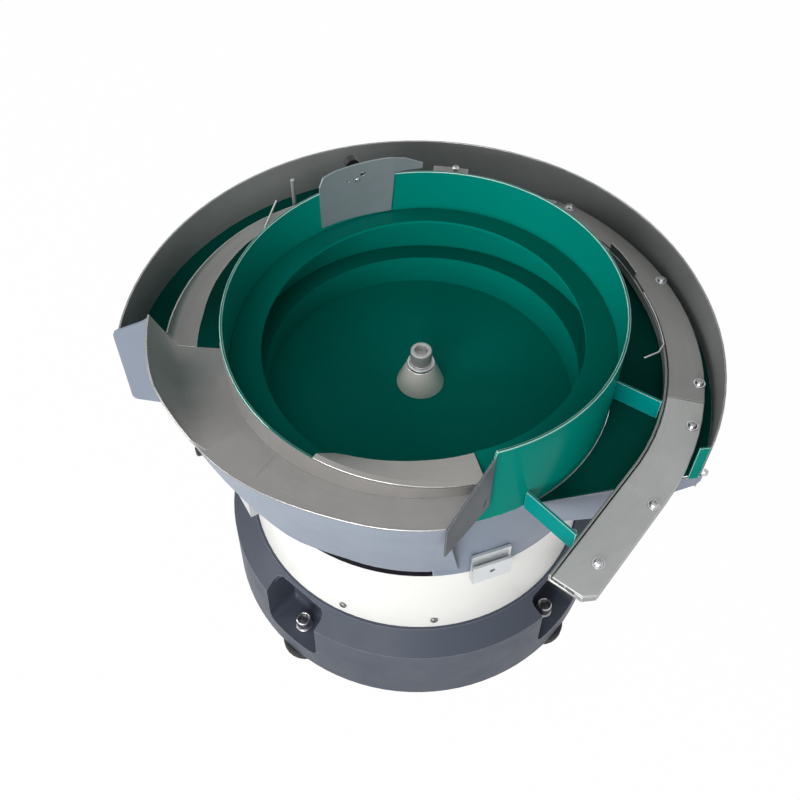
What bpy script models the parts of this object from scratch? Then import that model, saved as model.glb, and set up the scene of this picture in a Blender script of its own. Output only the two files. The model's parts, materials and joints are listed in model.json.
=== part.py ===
"""Vibratory bowl feeder: a round drive base on rubber feet and a helical bowl on leaf springs.

Parts climb the spiral track, cross the wide tray and the narrow track, and leave by the
covered discharge track. Run with: blender --background --python part.py

Metres, +Z up. The origin is the centre of the base's underside and the bowl's axis is Z.
Azimuths are in degrees, counter-clockwise from +X seen from above. The front is at -90.
"""
import math

import bmesh
import bpy
from mathutils import Matrix, Vector

for item in list(bpy.data.objects):
    bpy.data.objects.remove(item, do_unlink=True)

MM = 0.001
CLEARANCE = 0.3 * MM
SHEET = 2 * MM

# Bowl
WALL_RADIUS = 211.5 * MM
WALL_THICKNESS = 3 * MM
WALL_STEP = 2.6 * MM
WALL_STEP_RISE = 59 * MM
WALL_STEP_SLOPE = 2 * MM
LOWER_WALL = 2.4 * MM
CENTRE_SEAT_RADIUS = 27 * MM
CENTRE_SEAT_RISE = 26 * MM
FLOOR_EDGE_INSET = 38.5 * MM
FLOOR_DOME = 14.5 * MM
FLOOR_THICKNESS = 4 * MM
RIM_LOW_RISE = 64 * MM
RIM_RISE = 49 * MM
RIM_EXPONENT = 0.75
RIM_START = -72
RIM_DROP_ANGLE = 1.5
SKIRT_WALL = 2 * MM

# Rubber feet
FOOT_AZIMUTHS = (-129, -39, 51, 141)
FOOT_INSET = 24 * MM
FOOT_RADIUS = 25 * MM
FOOT_HEIGHT = 14 * MM
FOOT_EDGE = 2 * MM
STUD_RADIUS = 6 * MM
STUD_RISE = 33 * MM
STUD_SINK = 8.4 * MM
WASHER_RADIUS = 12 * MM
WASHER_THICKNESS = 2.5 * MM
NUT_FLATS = 18 * MM
NUT_HEIGHT = 10 * MM

# Cast base
BASE_LEDGE = 32.5 * MM
BASE_DRAFT = 2 * MM
BASE_SHOULDER_DROP = 19.7 * MM
BASE_TOP_LEDGE = 3.5 * MM
BASE_TOP_Z = 115.7 * MM
BASE_WALL = 59 * MM
BASE_FLOOR_Z = 28 * MM
SPIGOT_RISE = 30 * MM
FOOT_SEAT_MARGIN = 1 * MM
FOOT_SEAT_DEPTH = 1 * MM
POCKET_WIDTH = 80 * MM
POCKET_DEPTH = 49 * MM
POCKET_OPEN_LEDGE = 5.5 * MM
POCKET_ROOF_DROP = 11.7 * MM
POCKET_CORNER = 8 * MM

# Drive cover
COVER_INSET = 5 * MM
COVER_WALL = 2 * MM
COVER_HEIGHT = 125 * MM
COVER_SCREW_AZIMUTHS = (-113, -83, 67, 97)
COVER_SCREW_RISE = 19.3 * MM
COVER_SCREW_RADIUS = 2 * MM
COVER_SCREW_HEAD_RADIUS = 4.5 * MM
COVER_SCREW_HEAD_HEIGHT = 3 * MM
COVER_SCREW_GRIP = 6 * MM

# Cable gland in the back of the base
GLAND_AZIMUTH = 96
GLAND_Z = 50 * MM
GLAND_HEX_FLATS = 20 * MM
GLAND_HEX_LENGTH = 7 * MM
GLAND_DOME_RADIUS = 8.5 * MM
GLAND_DOME_LENGTH = 12 * MM
GLAND_DOME_EDGE = 2.5 * MM
GLAND_STUB_RADIUS = 7.5 * MM
GLAND_STUB_LENGTH = 14 * MM
GLAND_BORE_RADIUS = 4 * MM

# Electromagnet
MAGNET_WIDTH = 76 * MM
MAGNET_STACK = 46 * MM
MAGNET_LIMB = 14 * MM
MAGNET_POLE = 26 * MM
MAGNET_YOKE = 16 * MM
MAGNET_HEIGHT = 58 * MM
MAGNET_LIFT = 64 * MM
BRACKET_PLATE = 8 * MM
COIL_HEIGHT = 34 * MM
COIL_WALL = 8 * MM
AIR_GAP = 1.5 * MM
ARMATURE_THICKNESS = 14 * MM
ARMATURE_STEM_RADIUS = 16 * MM

# Leaf springs
SPRING_AZIMUTHS = (-30, 90, 210)
SPRING_INSET = 70 * MM
SPRING_TILT = 20
SPRING_WIDTH = 40 * MM
SPRING_THICKNESS = 4 * MM
SPRING_OVERLAP = 24 * MM
SPRING_SIDE_GAP = 0.4 * MM
CLAMP_LENGTH = 40 * MM
CLAMP_HEIGHT = 46 * MM

# Bowl carrier plate
PLATE_GAP = 2.5 * MM
PLATE_THICKNESS = 12 * MM
PLATE_TO_BOWL = 36.5 * MM
PLATE_SHOWN = 4.5 * MM
BOSS_BASE_RADIUS = 60 * MM
BOSS_TOP_RADIUS = 26 * MM

# Spiral track inside the bowl: clockwise angle from its start, share of its climb
TRACK_START = -50
TRACK_TURN = 742
TRACK_STEP = 6
TRACK_CLIMB = 112 * MM
TRACK_HEIGHTS = (
    (0, 0.0348), (60, 0.1741), (130, 0.3259), (220, 0.3571), (290, 0.4420),
    (360, 0.5491), (490, 0.7455), (580, 0.8884), (670, 0.9420), (742, 1),
)
TRACK_THICKNESS = 2.4 * MM
TRACK_FALL = 11 * MM
TRACK_START_FALL = 6.6 * MM
TRACK_FALL_TURN = 60
TRACK_LEVEL_FROM = 690
TRACK_OVER_STEP = 8 * MM
RISER_END = 346
RISER_FADE = 12
TRACK_LIP = 3.2 * MM

# Track insert over the low part of the rim: azimuth, share of its width
INSERT_WIDTH = 37.5 * MM
INSERT_SHAPE = (
    (-118, 0.28), (-117, 0.48), (-114, 0.6267), (-108, 0.7067), (-97, 0.84), (-88, 0.92),
    (-72, 1),
)
INSERT_SEAM = 0.3
INSERT_STEP = 3
INSERT_RISE = 1 * MM

# Centre fastening
CONE_TOP_RADIUS = 16 * MM
CONE_HEIGHT = 30 * MM
BOLT_RADIUS = 8 * MM
BOLT_HEAD_RADIUS = 12 * MM
BOLT_HEAD_HEIGHT = 16 * MM
BOLT_HEAD_EDGE = 1 * MM
BOLT_SOCKET_FLATS = 14 * MM
BOLT_SOCKET_DEPTH = 8 * MM
FLAT_WASHER_RADIUS = 15.5 * MM
FLAT_WASHER_HEIGHT = 3 * MM
SPRING_WASHER_RADIUS = 13.2 * MM
SPRING_WASHER_HEIGHT = 3.4 * MM
BOLT_REACH = 50 * MM

# Wide tray
TRAY_END = -174
TRAY_END_SWEEP = 2.6
TRAY_SWEEP_TURN = 16
TRAY_DROP = 8.5 * MM
TRAY_FALL = 18.1 * MM
TRAY_CROSS_FALL = 3 * MM
TRAY_CROSS_EASE = 0.7
TRAY_WIDTH = 34.5 * MM
TRAY_WIDENING = 25 * MM
TRAY_WIDENS_FROM = -105
TRAY_WIDENS_OVER = 52
TRAY_WALL_HEIGHT = 46 * MM
TRAY_WALL_FROM = -143
TRAY_WALL_OVER = 16
TRAY_WALL_LEAN = 0.3
TRAY_LIP = 2.5 * MM
TRAY_STEP = 3.5
TRAY_LEVEL_TO = -77
TRAY_RADIAL_FROM = -88
TRAY_START_SHARES = (0, 0.35, 0.7)

# Apron under the wide tray
APRON_SHEET = 1.5 * MM
APRON_SLOPE = 0.232
APRON_LIFT = 14 * MM
APRON_RISE = 124 * MM
APRON_RISE_START = -124
APRON_RISE_OVER = 25
APRON_RISE_EXPONENT = 1.3
APRON_LEAST_HEIGHT = 6 * MM
APRON_START = -77.5
APRON_SEAM = 0.1
APRON_END = -147

# Plate that closes the wide tray: azimuths and reach past its neighbours, heights over the rim
END_PLATE_AZIMUTHS = (-73.334, -83.563)
END_PLATE_ROOT = 1.55 * MM
END_PLATE_REACH = 1.96 * MM
END_PLATE_INNER_HEIGHTS = (-34 * MM, 46 * MM)
END_PLATE_OUTER_HEIGHTS = (-59 * MM, -11 * MM)

# Narrow track: clockwise angle from the tray, shares of the reach at its edge and crease,
# share of its fall, share of its flange
NARROW_END_GAP = 28 * MM
NARROW_FALL = 43 * MM
NARROW_FLANGE = 20 * MM
NARROW_TRACK = (
    (0, 0.3520, 0.5906, 0.4442, 1), (12, 0.3684, 0.5789, 0.4488, 0.8),
    (24, 0.4292, 0.5673, 0.4535, 0.6), (42, 0.4912, 0.5439, 0.4628, 0.4),
    (58, 0.4620, 0.5263, 0.5233, 0.2), (90, 0.3684, 0.5205, 0.7093, 0.2),
    (112, 0.4503, 0.6608, 0.8605, 0.2), (128.6, 0.7895, 1, 1, 0.2),
)
NARROW_FLANGE_LEAN = 8 * MM
NARROW_SEAM = 0.1

# Return pan and outer wall
PAN_WIDTH = 113.5 * MM
PAN_DROP = 5 * MM
OUTER_WALL_BELOW_PAN = 23 * MM
OUTER_WALL_ABOVE_PAN = 56 * MM
PAN_END_AZIMUTH = -50.591
PAN_END_OFFSET = 10.6 * MM
PAN_END_HEADING = Vector((143, 33.6)).normalized()
PAN_FLANGE_HEIGHT = 19 * MM

# Left end flap, with its heights measured from the pan
FLAP_Y = -16 * MM
FLAP_REACH = 5 * MM
FLAP_INNER_HEIGHTS = (-66 * MM, 80.5 * MM)
FLAP_OUTER_BOTTOM = -58 * MM
FLAP_CHAMFER = 6 * MM

# Discharge track: its inner side is an azimuth and a share of its width
BED_FROM_WALL = 19.5 * MM
BED_START = 57
BEND_END = -36
BED_STRAIGHT = 145 * MM
BED_WIDTH = 42.8 * MM
BED_SHAPE = (
    (-36, 1), (-22, 0.9533), (-12, 0.9112), (-2, 0.8645), (6, 0.8294), (14, 0.7827),
    (22, 0.7477), (34, 0.5958), (57, 0.5724),
)
BED_LIFT = 14 * MM
BED_PLATE = 3 * MM
BED_GAP = 5 * MM
BED_RAIL_OUTSET = 4 * MM
BED_RAIL_WALL = 2.5 * MM
BED_SPACER = 8.5 * MM
BED_CHAMFER = 10 * MM
TRACK_COVER_THICKNESS = 3 * MM
TRACK_COVER_SEAM = -11.5
TRACK_COVER_REAR_START = 55
TRACK_COVER_PLAY = 0.05

# Green brackets that carry the discharge track
BRACKET_THICKNESS = 3 * MM
BRACKET_DROP = 10.3 * MM
BRACKET_RISE = 17.5 * MM
BRACKET_LEAN = 0.5 * MM
FRONT_BRACKET_AZIMUTH = -59.6
FRONT_BRACKET_HEADING = Vector((44.6, -46.2)).normalized()
RIGHT_BRACKET_AZIMUTH = -10.8
RIGHT_BRACKET_END = -14.8
RIGHT_BRACKET_HEADING = Vector((35.3, -20.8)).normalized()

# Deflector on the inside of the wall: azimuth, radius from the wall, bottom and top over the rim
DEFLECTOR = (
    (126, -5.3 * MM, -23 * MM, 37 * MM), (124.5, -5.3 * MM, -23 * MM, 49 * MM),
    (120, -5.3 * MM, -23 * MM, 52.5 * MM), (114, -5.3 * MM, -23 * MM, 53.5 * MM),
    (108, -5.3 * MM, -23 * MM, 54.5 * MM), (104, -5.3 * MM, -23 * MM, 55 * MM),
    (101.6, -5.3 * MM, -22 * MM, 55 * MM), (100.4, -5.3 * MM, 33 * MM, 54 * MM),
    (97, -1.5 * MM, 33 * MM, 50 * MM), (91.4, 2 * MM, 33 * MM, 40 * MM),
)
DEFLECTOR_HOLE_AZIMUTH = 116
DEFLECTOR_HOLE_RISE = 32.5 * MM
DEFLECTOR_HOLE_RADIUS = 2 * MM
BRACKET_AZIMUTH = 111
BRACKET_WIDTH = 16 * MM
BRACKET_SHEET = 2.5 * MM
BRACKET_RISES = (7 * MM, 48 * MM)
THUMB_SCREW_RISE = 39 * MM
THUMB_SCREW_RADIUS = 3 * MM
THUMB_SCREW_REACH = 14 * MM
THUMB_SCREW_TIP = 2 * MM
THUMB_KNOB_RADIUS = 8 * MM
THUMB_KNOB_LENGTH = 11 * MM
THUMB_KNOB_EDGE = 1.2 * MM

# Small guides
REAR_TAB_AZIMUTHS = (78, 88)
REAR_TAB_RISE = 18 * MM
REAR_TAB_LENGTH = 23 * MM
GUIDE_ROD_RADIUS = 1.3 * MM
GUIDE_ROD_TURN = 47.5
GUIDE_ROD_INSET = 1.9 * MM
GUIDE_ROD_TOP_AZIMUTH = 132.5
GUIDE_ROD_TOP_RISE = 8 * MM
GUIDE_POST_RADIUS = 1.5 * MM
GUIDE_POST_AZIMUTH = 125.8
GUIDE_POST_OFFSET = 50 * MM
GUIDE_POST_RISE = 15 * MM
GUIDE_WIRE_RADIUS = 1.2 * MM
GUIDE_WIRE_AZIMUTHS = (21, 4)
GUIDE_WIRE_STEP = 2
GUIDE_WIRE_TAIL = ((1.5, 10 * MM), (-0.6, 26.8 * MM))
GUIDE_STRIP_AZIMUTHS = (26, 37)
GUIDE_STRIP_HEIGHT = 12 * MM

# Clamp blocks that hold the skirt to the carrier plate: azimuth, depth
BOWL_CLAMPS = (("front", -68, 9.5 * MM), ("left", -148, 18 * MM), ("rear", 80, 9.5 * MM))
BOWL_CLAMP_WIDTH = 44 * MM
BOWL_CLAMP_DROP = 11.5 * MM
BOWL_CLAMP_FRONT_RISE = 27.5 * MM
BOWL_CLAMP_BACK_RISE = 41.5 * MM
BOWL_CLAMP_SLOT = 3 * MM
BOWL_CLAMP_SLOT_RISE = 18.5 * MM
BOWL_CLAMP_BACK = 3.5 * MM
BOWL_CLAMP_HOLE_RISE = 12.5 * MM
BOWL_CLAMP_HOLE_RADIUS = 3.2 * MM

ROUND_STEPS = 96
SMALL_STEPS = 24
HOLE_STEPS = 16
ARC_STEP = 4

# Colour, roughness and metallic value of each finish
LOOKS = {
    "green_coat": ((0.0, 0.21, 0.16), 0.25, 0.0),
    "stainless": ((0.50, 0.48, 0.46), 0.35, 1.0),
    "dark_stainless": ((0.22, 0.21, 0.20), 0.38, 1.0),
    "grey_coat": ((0.30, 0.33, 0.38), 0.45, 0.2),
    "slate_coat": ((0.075, 0.085, 0.10), 0.5, 0.0),
    "white_coat": ((0.85, 0.85, 0.83), 0.4, 0.0),
    "zinc": ((0.60, 0.60, 0.60), 0.3, 1.0),
    "aluminium": ((0.70, 0.70, 0.71), 0.35, 1.0),
    "rubber": ((0.012, 0.012, 0.013), 0.8, 0.0),
    "spring_steel": ((0.16, 0.16, 0.17), 0.4, 1.0),
    "cast_iron": ((0.10, 0.10, 0.11), 0.6, 0.6),
    "copper": ((0.45, 0.20, 0.09), 0.4, 1.0),
    "black_plastic": ((0.02, 0.02, 0.02), 0.5, 0.0),
    "black_steel": ((0.05, 0.05, 0.05), 0.45, 0.8),
}

parts = bpy.data.collections.new("vibratory_bowl_feeder")
cutters = bpy.data.collections.new("cutters")
for group in (parts, cutters):
    bpy.context.scene.collection.children.link(group)
cutters.hide_render = True


def smooth(value):
    """Ease from 0 to 1 as value goes from 0 to 1."""
    value = min(max(value, 0), 1)
    return value * value * (3 - 2 * value)


def between(table, place):
    """Read a table of (place, value...) rows at a place, straight between its rows."""
    rows = sorted(table)
    place = min(max(place, rows[0][0]), rows[-1][0])
    for low, high in zip(rows, rows[1:]):
        if place <= high[0]:
            share = (place - low[0]) / (high[0] - low[0])
            return [a + (b - a) * share for a, b in zip(low[1:], high[1:])]
    return list(rows[-1][1:])


def polar(radius, azimuth, z=0.0):
    """Point at a radius and an azimuth round the bowl's axis."""
    angle = math.radians(azimuth)
    return Vector((radius * math.cos(angle), radius * math.sin(angle), z))


def azimuth_of(point):
    """Azimuth of a point in plan."""
    return math.degrees(math.atan2(point[1], point[0]))


def on_line(point, heading, radius):
    """Azimuth at which a straight line in plan crosses a circle round the bowl's axis."""
    along = point.dot(heading)
    reach = math.sqrt(along * along - point.length_squared + radius * radius)
    return azimuth_of(point + heading * (reach - along))


def steps(first, last, size=ARC_STEP):
    """Evenly spaced values from first to last, about size apart."""
    count = max(1, round(abs(last - first) / size))
    return [first + (last - first) * index / count for index in range(count + 1)]


def thicken(line, thickness):
    """Closed section of a sheet whose upper face is the line, with mitred corners."""
    below = []
    for index, point in enumerate(line):
        before = line[max(index - 1, 0)]
        after = line[min(index + 1, len(line) - 1)]
        normals = []
        for start, end in ((before, point), (point, after)):
            run = Vector((end[0] - start[0], end[1] - start[1]))
            if run.length > 0:
                run.normalize()
                normals.append(Vector((run.y, -run.x)))
        mitre = sum(normals, Vector((0, 0))).normalized()
        reach = thickness / mitre.dot(normals[0])
        below.append((point[0] + mitre.x * reach, point[1] + mitre.y * reach))
    return list(line) + below[::-1]


def finish(item, look, smooth_faces=True):
    """Give an object its own material, its shading and its collection."""
    colour, roughness, metallic = LOOKS[look]
    material = bpy.data.materials.new(item.name)
    material.use_nodes = True
    shader = material.node_tree.nodes["Principled BSDF"]
    shader.inputs["Base Color"].default_value = (*colour, 1)
    shader.inputs["Roughness"].default_value = roughness
    shader.inputs["Metallic"].default_value = metallic
    material.diffuse_color = (*colour, 1)
    item.data.materials.append(material)
    for group in list(item.users_collection):
        group.objects.unlink(item)
    parts.objects.link(item)
    if smooth_faces and item.type == "MESH" and item.data.polygons:
        item.data.shade_smooth()
        item.data.set_sharp_from_angle(angle=math.radians(35))
    return item


def mesh_object(name, shape):
    """Object made from a bmesh, with its faces outward."""
    bmesh.ops.recalc_face_normals(shape, faces=shape.faces)
    mesh = bpy.data.meshes.new(name)
    shape.to_mesh(mesh)
    shape.free()
    item = bpy.data.objects.new(name, mesh)
    cutters.objects.link(item)
    return item


def turned(name, profile, count=ROUND_STEPS):
    """Turn a profile of (radius, z) points round Z. A profile clear of the axis is a ring."""
    mesh = bpy.data.meshes.new(name)
    edges = [(index, index + 1) for index in range(len(profile) - 1)]
    if profile[0][0] > 0:
        edges.append((len(profile) - 1, 0))
    mesh.from_pydata([(radius, 0, z) for radius, z in profile], edges, [])
    item = bpy.data.objects.new(name, mesh)
    cutters.objects.link(item)
    screw = item.modifiers.new("turn", "SCREW")
    screw.angle = 2 * math.pi
    screw.steps = count
    screw.render_steps = count
    screw.use_merge_vertices = True
    screw.merge_threshold = 0.00001
    screw.use_normal_calculate = False
    screw.use_smooth_shade = True
    return item


def settle(item):
    """Turn an object with its modifiers or its curve into a plain mesh object."""
    graph = bpy.context.evaluated_depsgraph_get()
    mesh = bpy.data.meshes.new_from_object(item.evaluated_get(graph))
    shape = bmesh.new()
    shape.from_mesh(mesh)
    bmesh.ops.remove_doubles(shape, verts=shape.verts, dist=0.000001)
    name = item.name
    place = item.matrix_world.copy()
    bpy.data.objects.remove(item, do_unlink=True)
    solid = mesh_object(name, shape)
    solid.matrix_world = place
    return solid


def curve_object(name, splines, cyclic, dimensions):
    """Curve of straight segments through the given points."""
    curve = bpy.data.curves.new(name, "CURVE")
    curve.dimensions = dimensions
    for points in splines:
        spline = curve.splines.new("POLY")
        spline.points.add(len(points) - 1)
        for place, point in zip(spline.points, points):
            place.co = (*point, 0, 1) if len(point) == 2 else (*point, 1)
        spline.use_cyclic_u = cyclic
    item = bpy.data.objects.new(name, curve)
    cutters.objects.link(item)
    return item


def plate(name, outlines, bottom, top, place=None):
    """Flat plate: closed outlines in XY, filled and extruded from bottom to top along Z."""
    item = curve_object(name, outlines, True, "2D")
    item.data.fill_mode = "BOTH"
    item.data.extrude = (top - bottom) / 2
    lift = Matrix.Translation((0, 0, (top + bottom) / 2))
    item.matrix_world = (place or Matrix.Identity(4)) @ lift
    bpy.context.view_layer.update()
    return settle(item)


def rod(name, points, radius, resolution=2):
    """Round rod or wire through the points."""
    item = curve_object(name, [points], False, "3D")
    item.data.bevel_depth = radius
    item.data.bevel_resolution = resolution
    item.data.use_fill_caps = True
    bpy.context.view_layer.update()
    return settle(item)


def loft(name, stations, closed=False):
    """Skin like sections, each a closed list of points, and cap the ends."""
    shape = bmesh.new()
    rings = [[shape.verts.new(point) for point in station] for station in stations]
    pairs = list(zip(rings, rings[1:]))
    if closed:
        pairs.append((rings[-1], rings[0]))
    for first, second in pairs:
        for index in range(len(first)):
            after = (index + 1) % len(first)
            shape.faces.new((first[index], first[after], second[after], second[index]))
    if not closed:
        shape.faces.new(rings[0][::-1])
        shape.faces.new(rings[-1])
    return mesh_object(name, shape)


def swept(section, azimuth):
    """Points of a (radius, z) section at an azimuth, or at each radius's own azimuth."""
    turn = azimuth if callable(azimuth) else lambda radius: azimuth
    return [polar(radius, turn(radius), z) for radius, z in section]


def upright(azimuth, radius=0.0, z=0.0):
    """Place whose X runs outwards, whose Y runs up and whose Z lies along the tangent."""
    out = polar(1, azimuth)
    up = Vector((0, 0, 1))
    side = out.cross(up)
    turn = Matrix((out, up, side)).transposed().to_4x4()
    return Matrix.Translation(polar(radius, azimuth, z)) @ turn


def radial(azimuth, radius=0.0, z=0.0):
    """Place whose Z runs outwards."""
    out = polar(1, azimuth)
    side = Vector((0, 0, 1)).cross(out)
    turn = Matrix((side, Vector((0, 0, 1)), out)).transposed().to_4x4()
    return Matrix.Translation(polar(radius, azimuth, z)) @ turn


def standing(start, heading):
    """Place whose X runs along a heading in plan, whose Y runs up and whose Z is across."""
    along = Vector((heading[0], heading[1], 0))
    up = Vector((0, 0, 1))
    turn = Matrix((along, up, along.cross(up))).transposed().to_4x4()
    return Matrix.Translation((start[0], start[1], 0)) @ turn


def hexagon(flats):
    """Outline of a hexagon by its width across flats."""
    corner = flats / math.sqrt(3)
    return [polar(corner, 60 * index).xy for index in range(6)]


def box_outline(left, right, bottom, top):
    """Outline of a rectangle."""
    return [(left, bottom), (right, bottom), (right, top), (left, top)]


def cylinder(name, radius, bottom, top, place=None, count=SMALL_STEPS):
    """Cylinder along Z between two heights, before its place is applied."""
    shape = bmesh.new()
    lift = Matrix.Translation((0, 0, (top + bottom) / 2))
    bmesh.ops.create_cone(
        shape, cap_ends=True, segments=count, radius1=radius, radius2=radius,
        depth=top - bottom, matrix=lift,
    )
    item = mesh_object(name, shape)
    item.matrix_world = place or Matrix.Identity(4)
    return item


def combine(item, other, operation="DIFFERENCE"):
    """Cut one object with another, or join it to it. The other stays hidden as a tool."""
    other.hide_render = True
    other.display_type = "WIRE"
    change = item.modifiers.new(operation.lower(), "BOOLEAN")
    change.operation = operation
    change.object = other
    change.solver = "EXACT"
    return item


# Radii, each taken from its neighbour
INNER_WALL = WALL_RADIUS - WALL_THICKNESS
LOWER_OUTER = WALL_RADIUS - WALL_STEP
LOWER_INNER = LOWER_OUTER - LOWER_WALL
SKIRT_INNER = LOWER_OUTER + CLEARANCE
SKIRT_OUTER = SKIRT_INNER + SKIRT_WALL
OUTSIDE_BOWL = WALL_RADIUS + CLEARANCE
FLOOR_EDGE_RADIUS = WALL_RADIUS - FLOOR_EDGE_INSET
TRACK_INNER_RADIUS = FLOOR_EDGE_RADIUS + CLEARANCE
COVER_RADIUS = WALL_RADIUS - COVER_INSET
SPIGOT_RADIUS = COVER_RADIUS - COVER_WALL - CLEARANCE
BASE_RADIUS = COVER_RADIUS + BASE_LEDGE
BASE_TOP_RADIUS = COVER_RADIUS + BASE_TOP_LEDGE
CAVITY_RADIUS = BASE_RADIUS - BASE_WALL
POCKET_BACK_RADIUS = BASE_RADIUS - POCKET_DEPTH
POCKET_OPEN_RADIUS = COVER_RADIUS + POCKET_OPEN_LEDGE
FOOT_CIRCLE = BASE_RADIUS - FOOT_INSET
SPRING_CIRCLE = CAVITY_RADIUS - SPRING_INSET
BOLT_HOLE = BOLT_RADIUS + CLEARANCE
OUTER_WALL_RADIUS = WALL_RADIUS + PAN_WIDTH
PAN_OUTER_RADIUS = OUTER_WALL_RADIUS - SHEET - CLEARANCE
BED_OUTER_RADIUS = OUTER_WALL_RADIUS - BED_FROM_WALL
NARROW_REACH = PAN_WIDTH - NARROW_END_GAP
TRAY_EDGE_RADIUS = WALL_RADIUS + TRAY_WIDTH
TRAY_CREASE_RADIUS = WALL_RADIUS + NARROW_REACH * NARROW_TRACK[0][2]
TRAY_END_RADIUS = (
    TRAY_EDGE_RADIUS + TRAY_WIDENING + TRAY_WALL_LEAN * TRAY_WALL_HEIGHT + SHEET
)

# Heights, each taken from the piece below
BASE_SHOULDER_Z = BASE_TOP_Z - BASE_SHOULDER_DROP
POCKET_ROOF_Z = BASE_TOP_Z - POCKET_ROOF_DROP
COVER_SCREW_Z = BASE_TOP_Z + COVER_SCREW_RISE
COVER_BOTTOM_Z = BASE_TOP_Z + CLEARANCE
COVER_TOP_Z = COVER_BOTTOM_Z + COVER_HEIGHT
PLATE_UNDERSIDE_Z = COVER_TOP_Z + PLATE_GAP
PLATE_TOP_Z = PLATE_UNDERSIDE_Z + PLATE_THICKNESS
SKIRT_BOTTOM_Z = PLATE_UNDERSIDE_Z + PLATE_SHOWN
MAGNET_BASE_Z = BASE_FLOOR_Z + MAGNET_LIFT
CORE_TOP_Z = MAGNET_BASE_Z + MAGNET_HEIGHT
LOWER_CLAMP_TOP_Z = BASE_FLOOR_Z + CLEARANCE + CLAMP_HEIGHT
UPPER_CLAMP_BOTTOM_Z = PLATE_UNDERSIDE_Z - CLEARANCE - CLAMP_HEIGHT
BOWL_BOTTOM_Z = PLATE_TOP_Z + PLATE_TO_BOWL
CENTRE_SEAT_Z = BOWL_BOTTOM_Z + CENTRE_SEAT_RISE
FLOOR_EDGE_Z = CENTRE_SEAT_Z - FLOOR_DOME
WALL_STEP_Z = BOWL_BOTTOM_Z + WALL_STEP_RISE
RIM_LOW_Z = WALL_STEP_Z + RIM_LOW_RISE
BOSS_TOP_Z = CENTRE_SEAT_Z - FLOOR_THICKNESS - CLEARANCE
CONE_BOTTOM_Z = CENTRE_SEAT_Z + CLEARANCE
CONE_TOP_Z = CONE_BOTTOM_Z + CONE_HEIGHT
WASHER_BOTTOM_Z = CONE_TOP_Z + CLEARANCE
WASHER_TOP_Z = WASHER_BOTTOM_Z + FLAT_WASHER_HEIGHT + SPRING_WASHER_HEIGHT
HEAD_BOTTOM_Z = WASHER_TOP_Z + CLEARANCE
BOLT_END_Z = BOSS_TOP_Z - BOLT_REACH
INSERT_Z = RIM_LOW_Z + INSERT_RISE
TRAY_FLOOR_Z = RIM_LOW_Z - TRAY_DROP
APRON_BOTTOM_Z = SKIRT_BOTTOM_Z + APRON_LIFT
PAN_UNDERSIDE_Z = WALL_STEP_Z - PAN_DROP
OUTER_WALL_BOTTOM_Z = PAN_UNDERSIDE_Z - OUTER_WALL_BELOW_PAN
OUTER_WALL_TOP_Z = PAN_UNDERSIDE_Z + OUTER_WALL_ABOVE_PAN
BED_UNDERSIDE_Z = PAN_UNDERSIDE_Z + BED_LIFT
TRACK_COVER_Z = BED_UNDERSIDE_Z + BED_PLATE + BED_GAP
RAIL_TOP_Z = TRACK_COVER_Z + TRACK_COVER_THICKNESS

# Where flat plates start and end in plan
END_PLATE_INNER = polar(WALL_RADIUS + END_PLATE_ROOT, END_PLATE_AZIMUTHS[0]).xy
END_PLATE_OUTER = polar(TRAY_EDGE_RADIUS + END_PLATE_REACH, END_PLATE_AZIMUTHS[1]).xy
END_PLATE_HEADING = (END_PLATE_OUTER - END_PLATE_INNER).normalized()
END_PLATE_CLOCKWISE = Vector((END_PLATE_HEADING.y, -END_PLATE_HEADING.x))
PAN_END_POINT = polar(WALL_RADIUS + PAN_END_OFFSET, PAN_END_AZIMUTH).xy
PAN_START = 180 + math.degrees(math.asin(-(FLAP_Y + SHEET + CLEARANCE) / PAN_OUTER_RADIUS))


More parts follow.
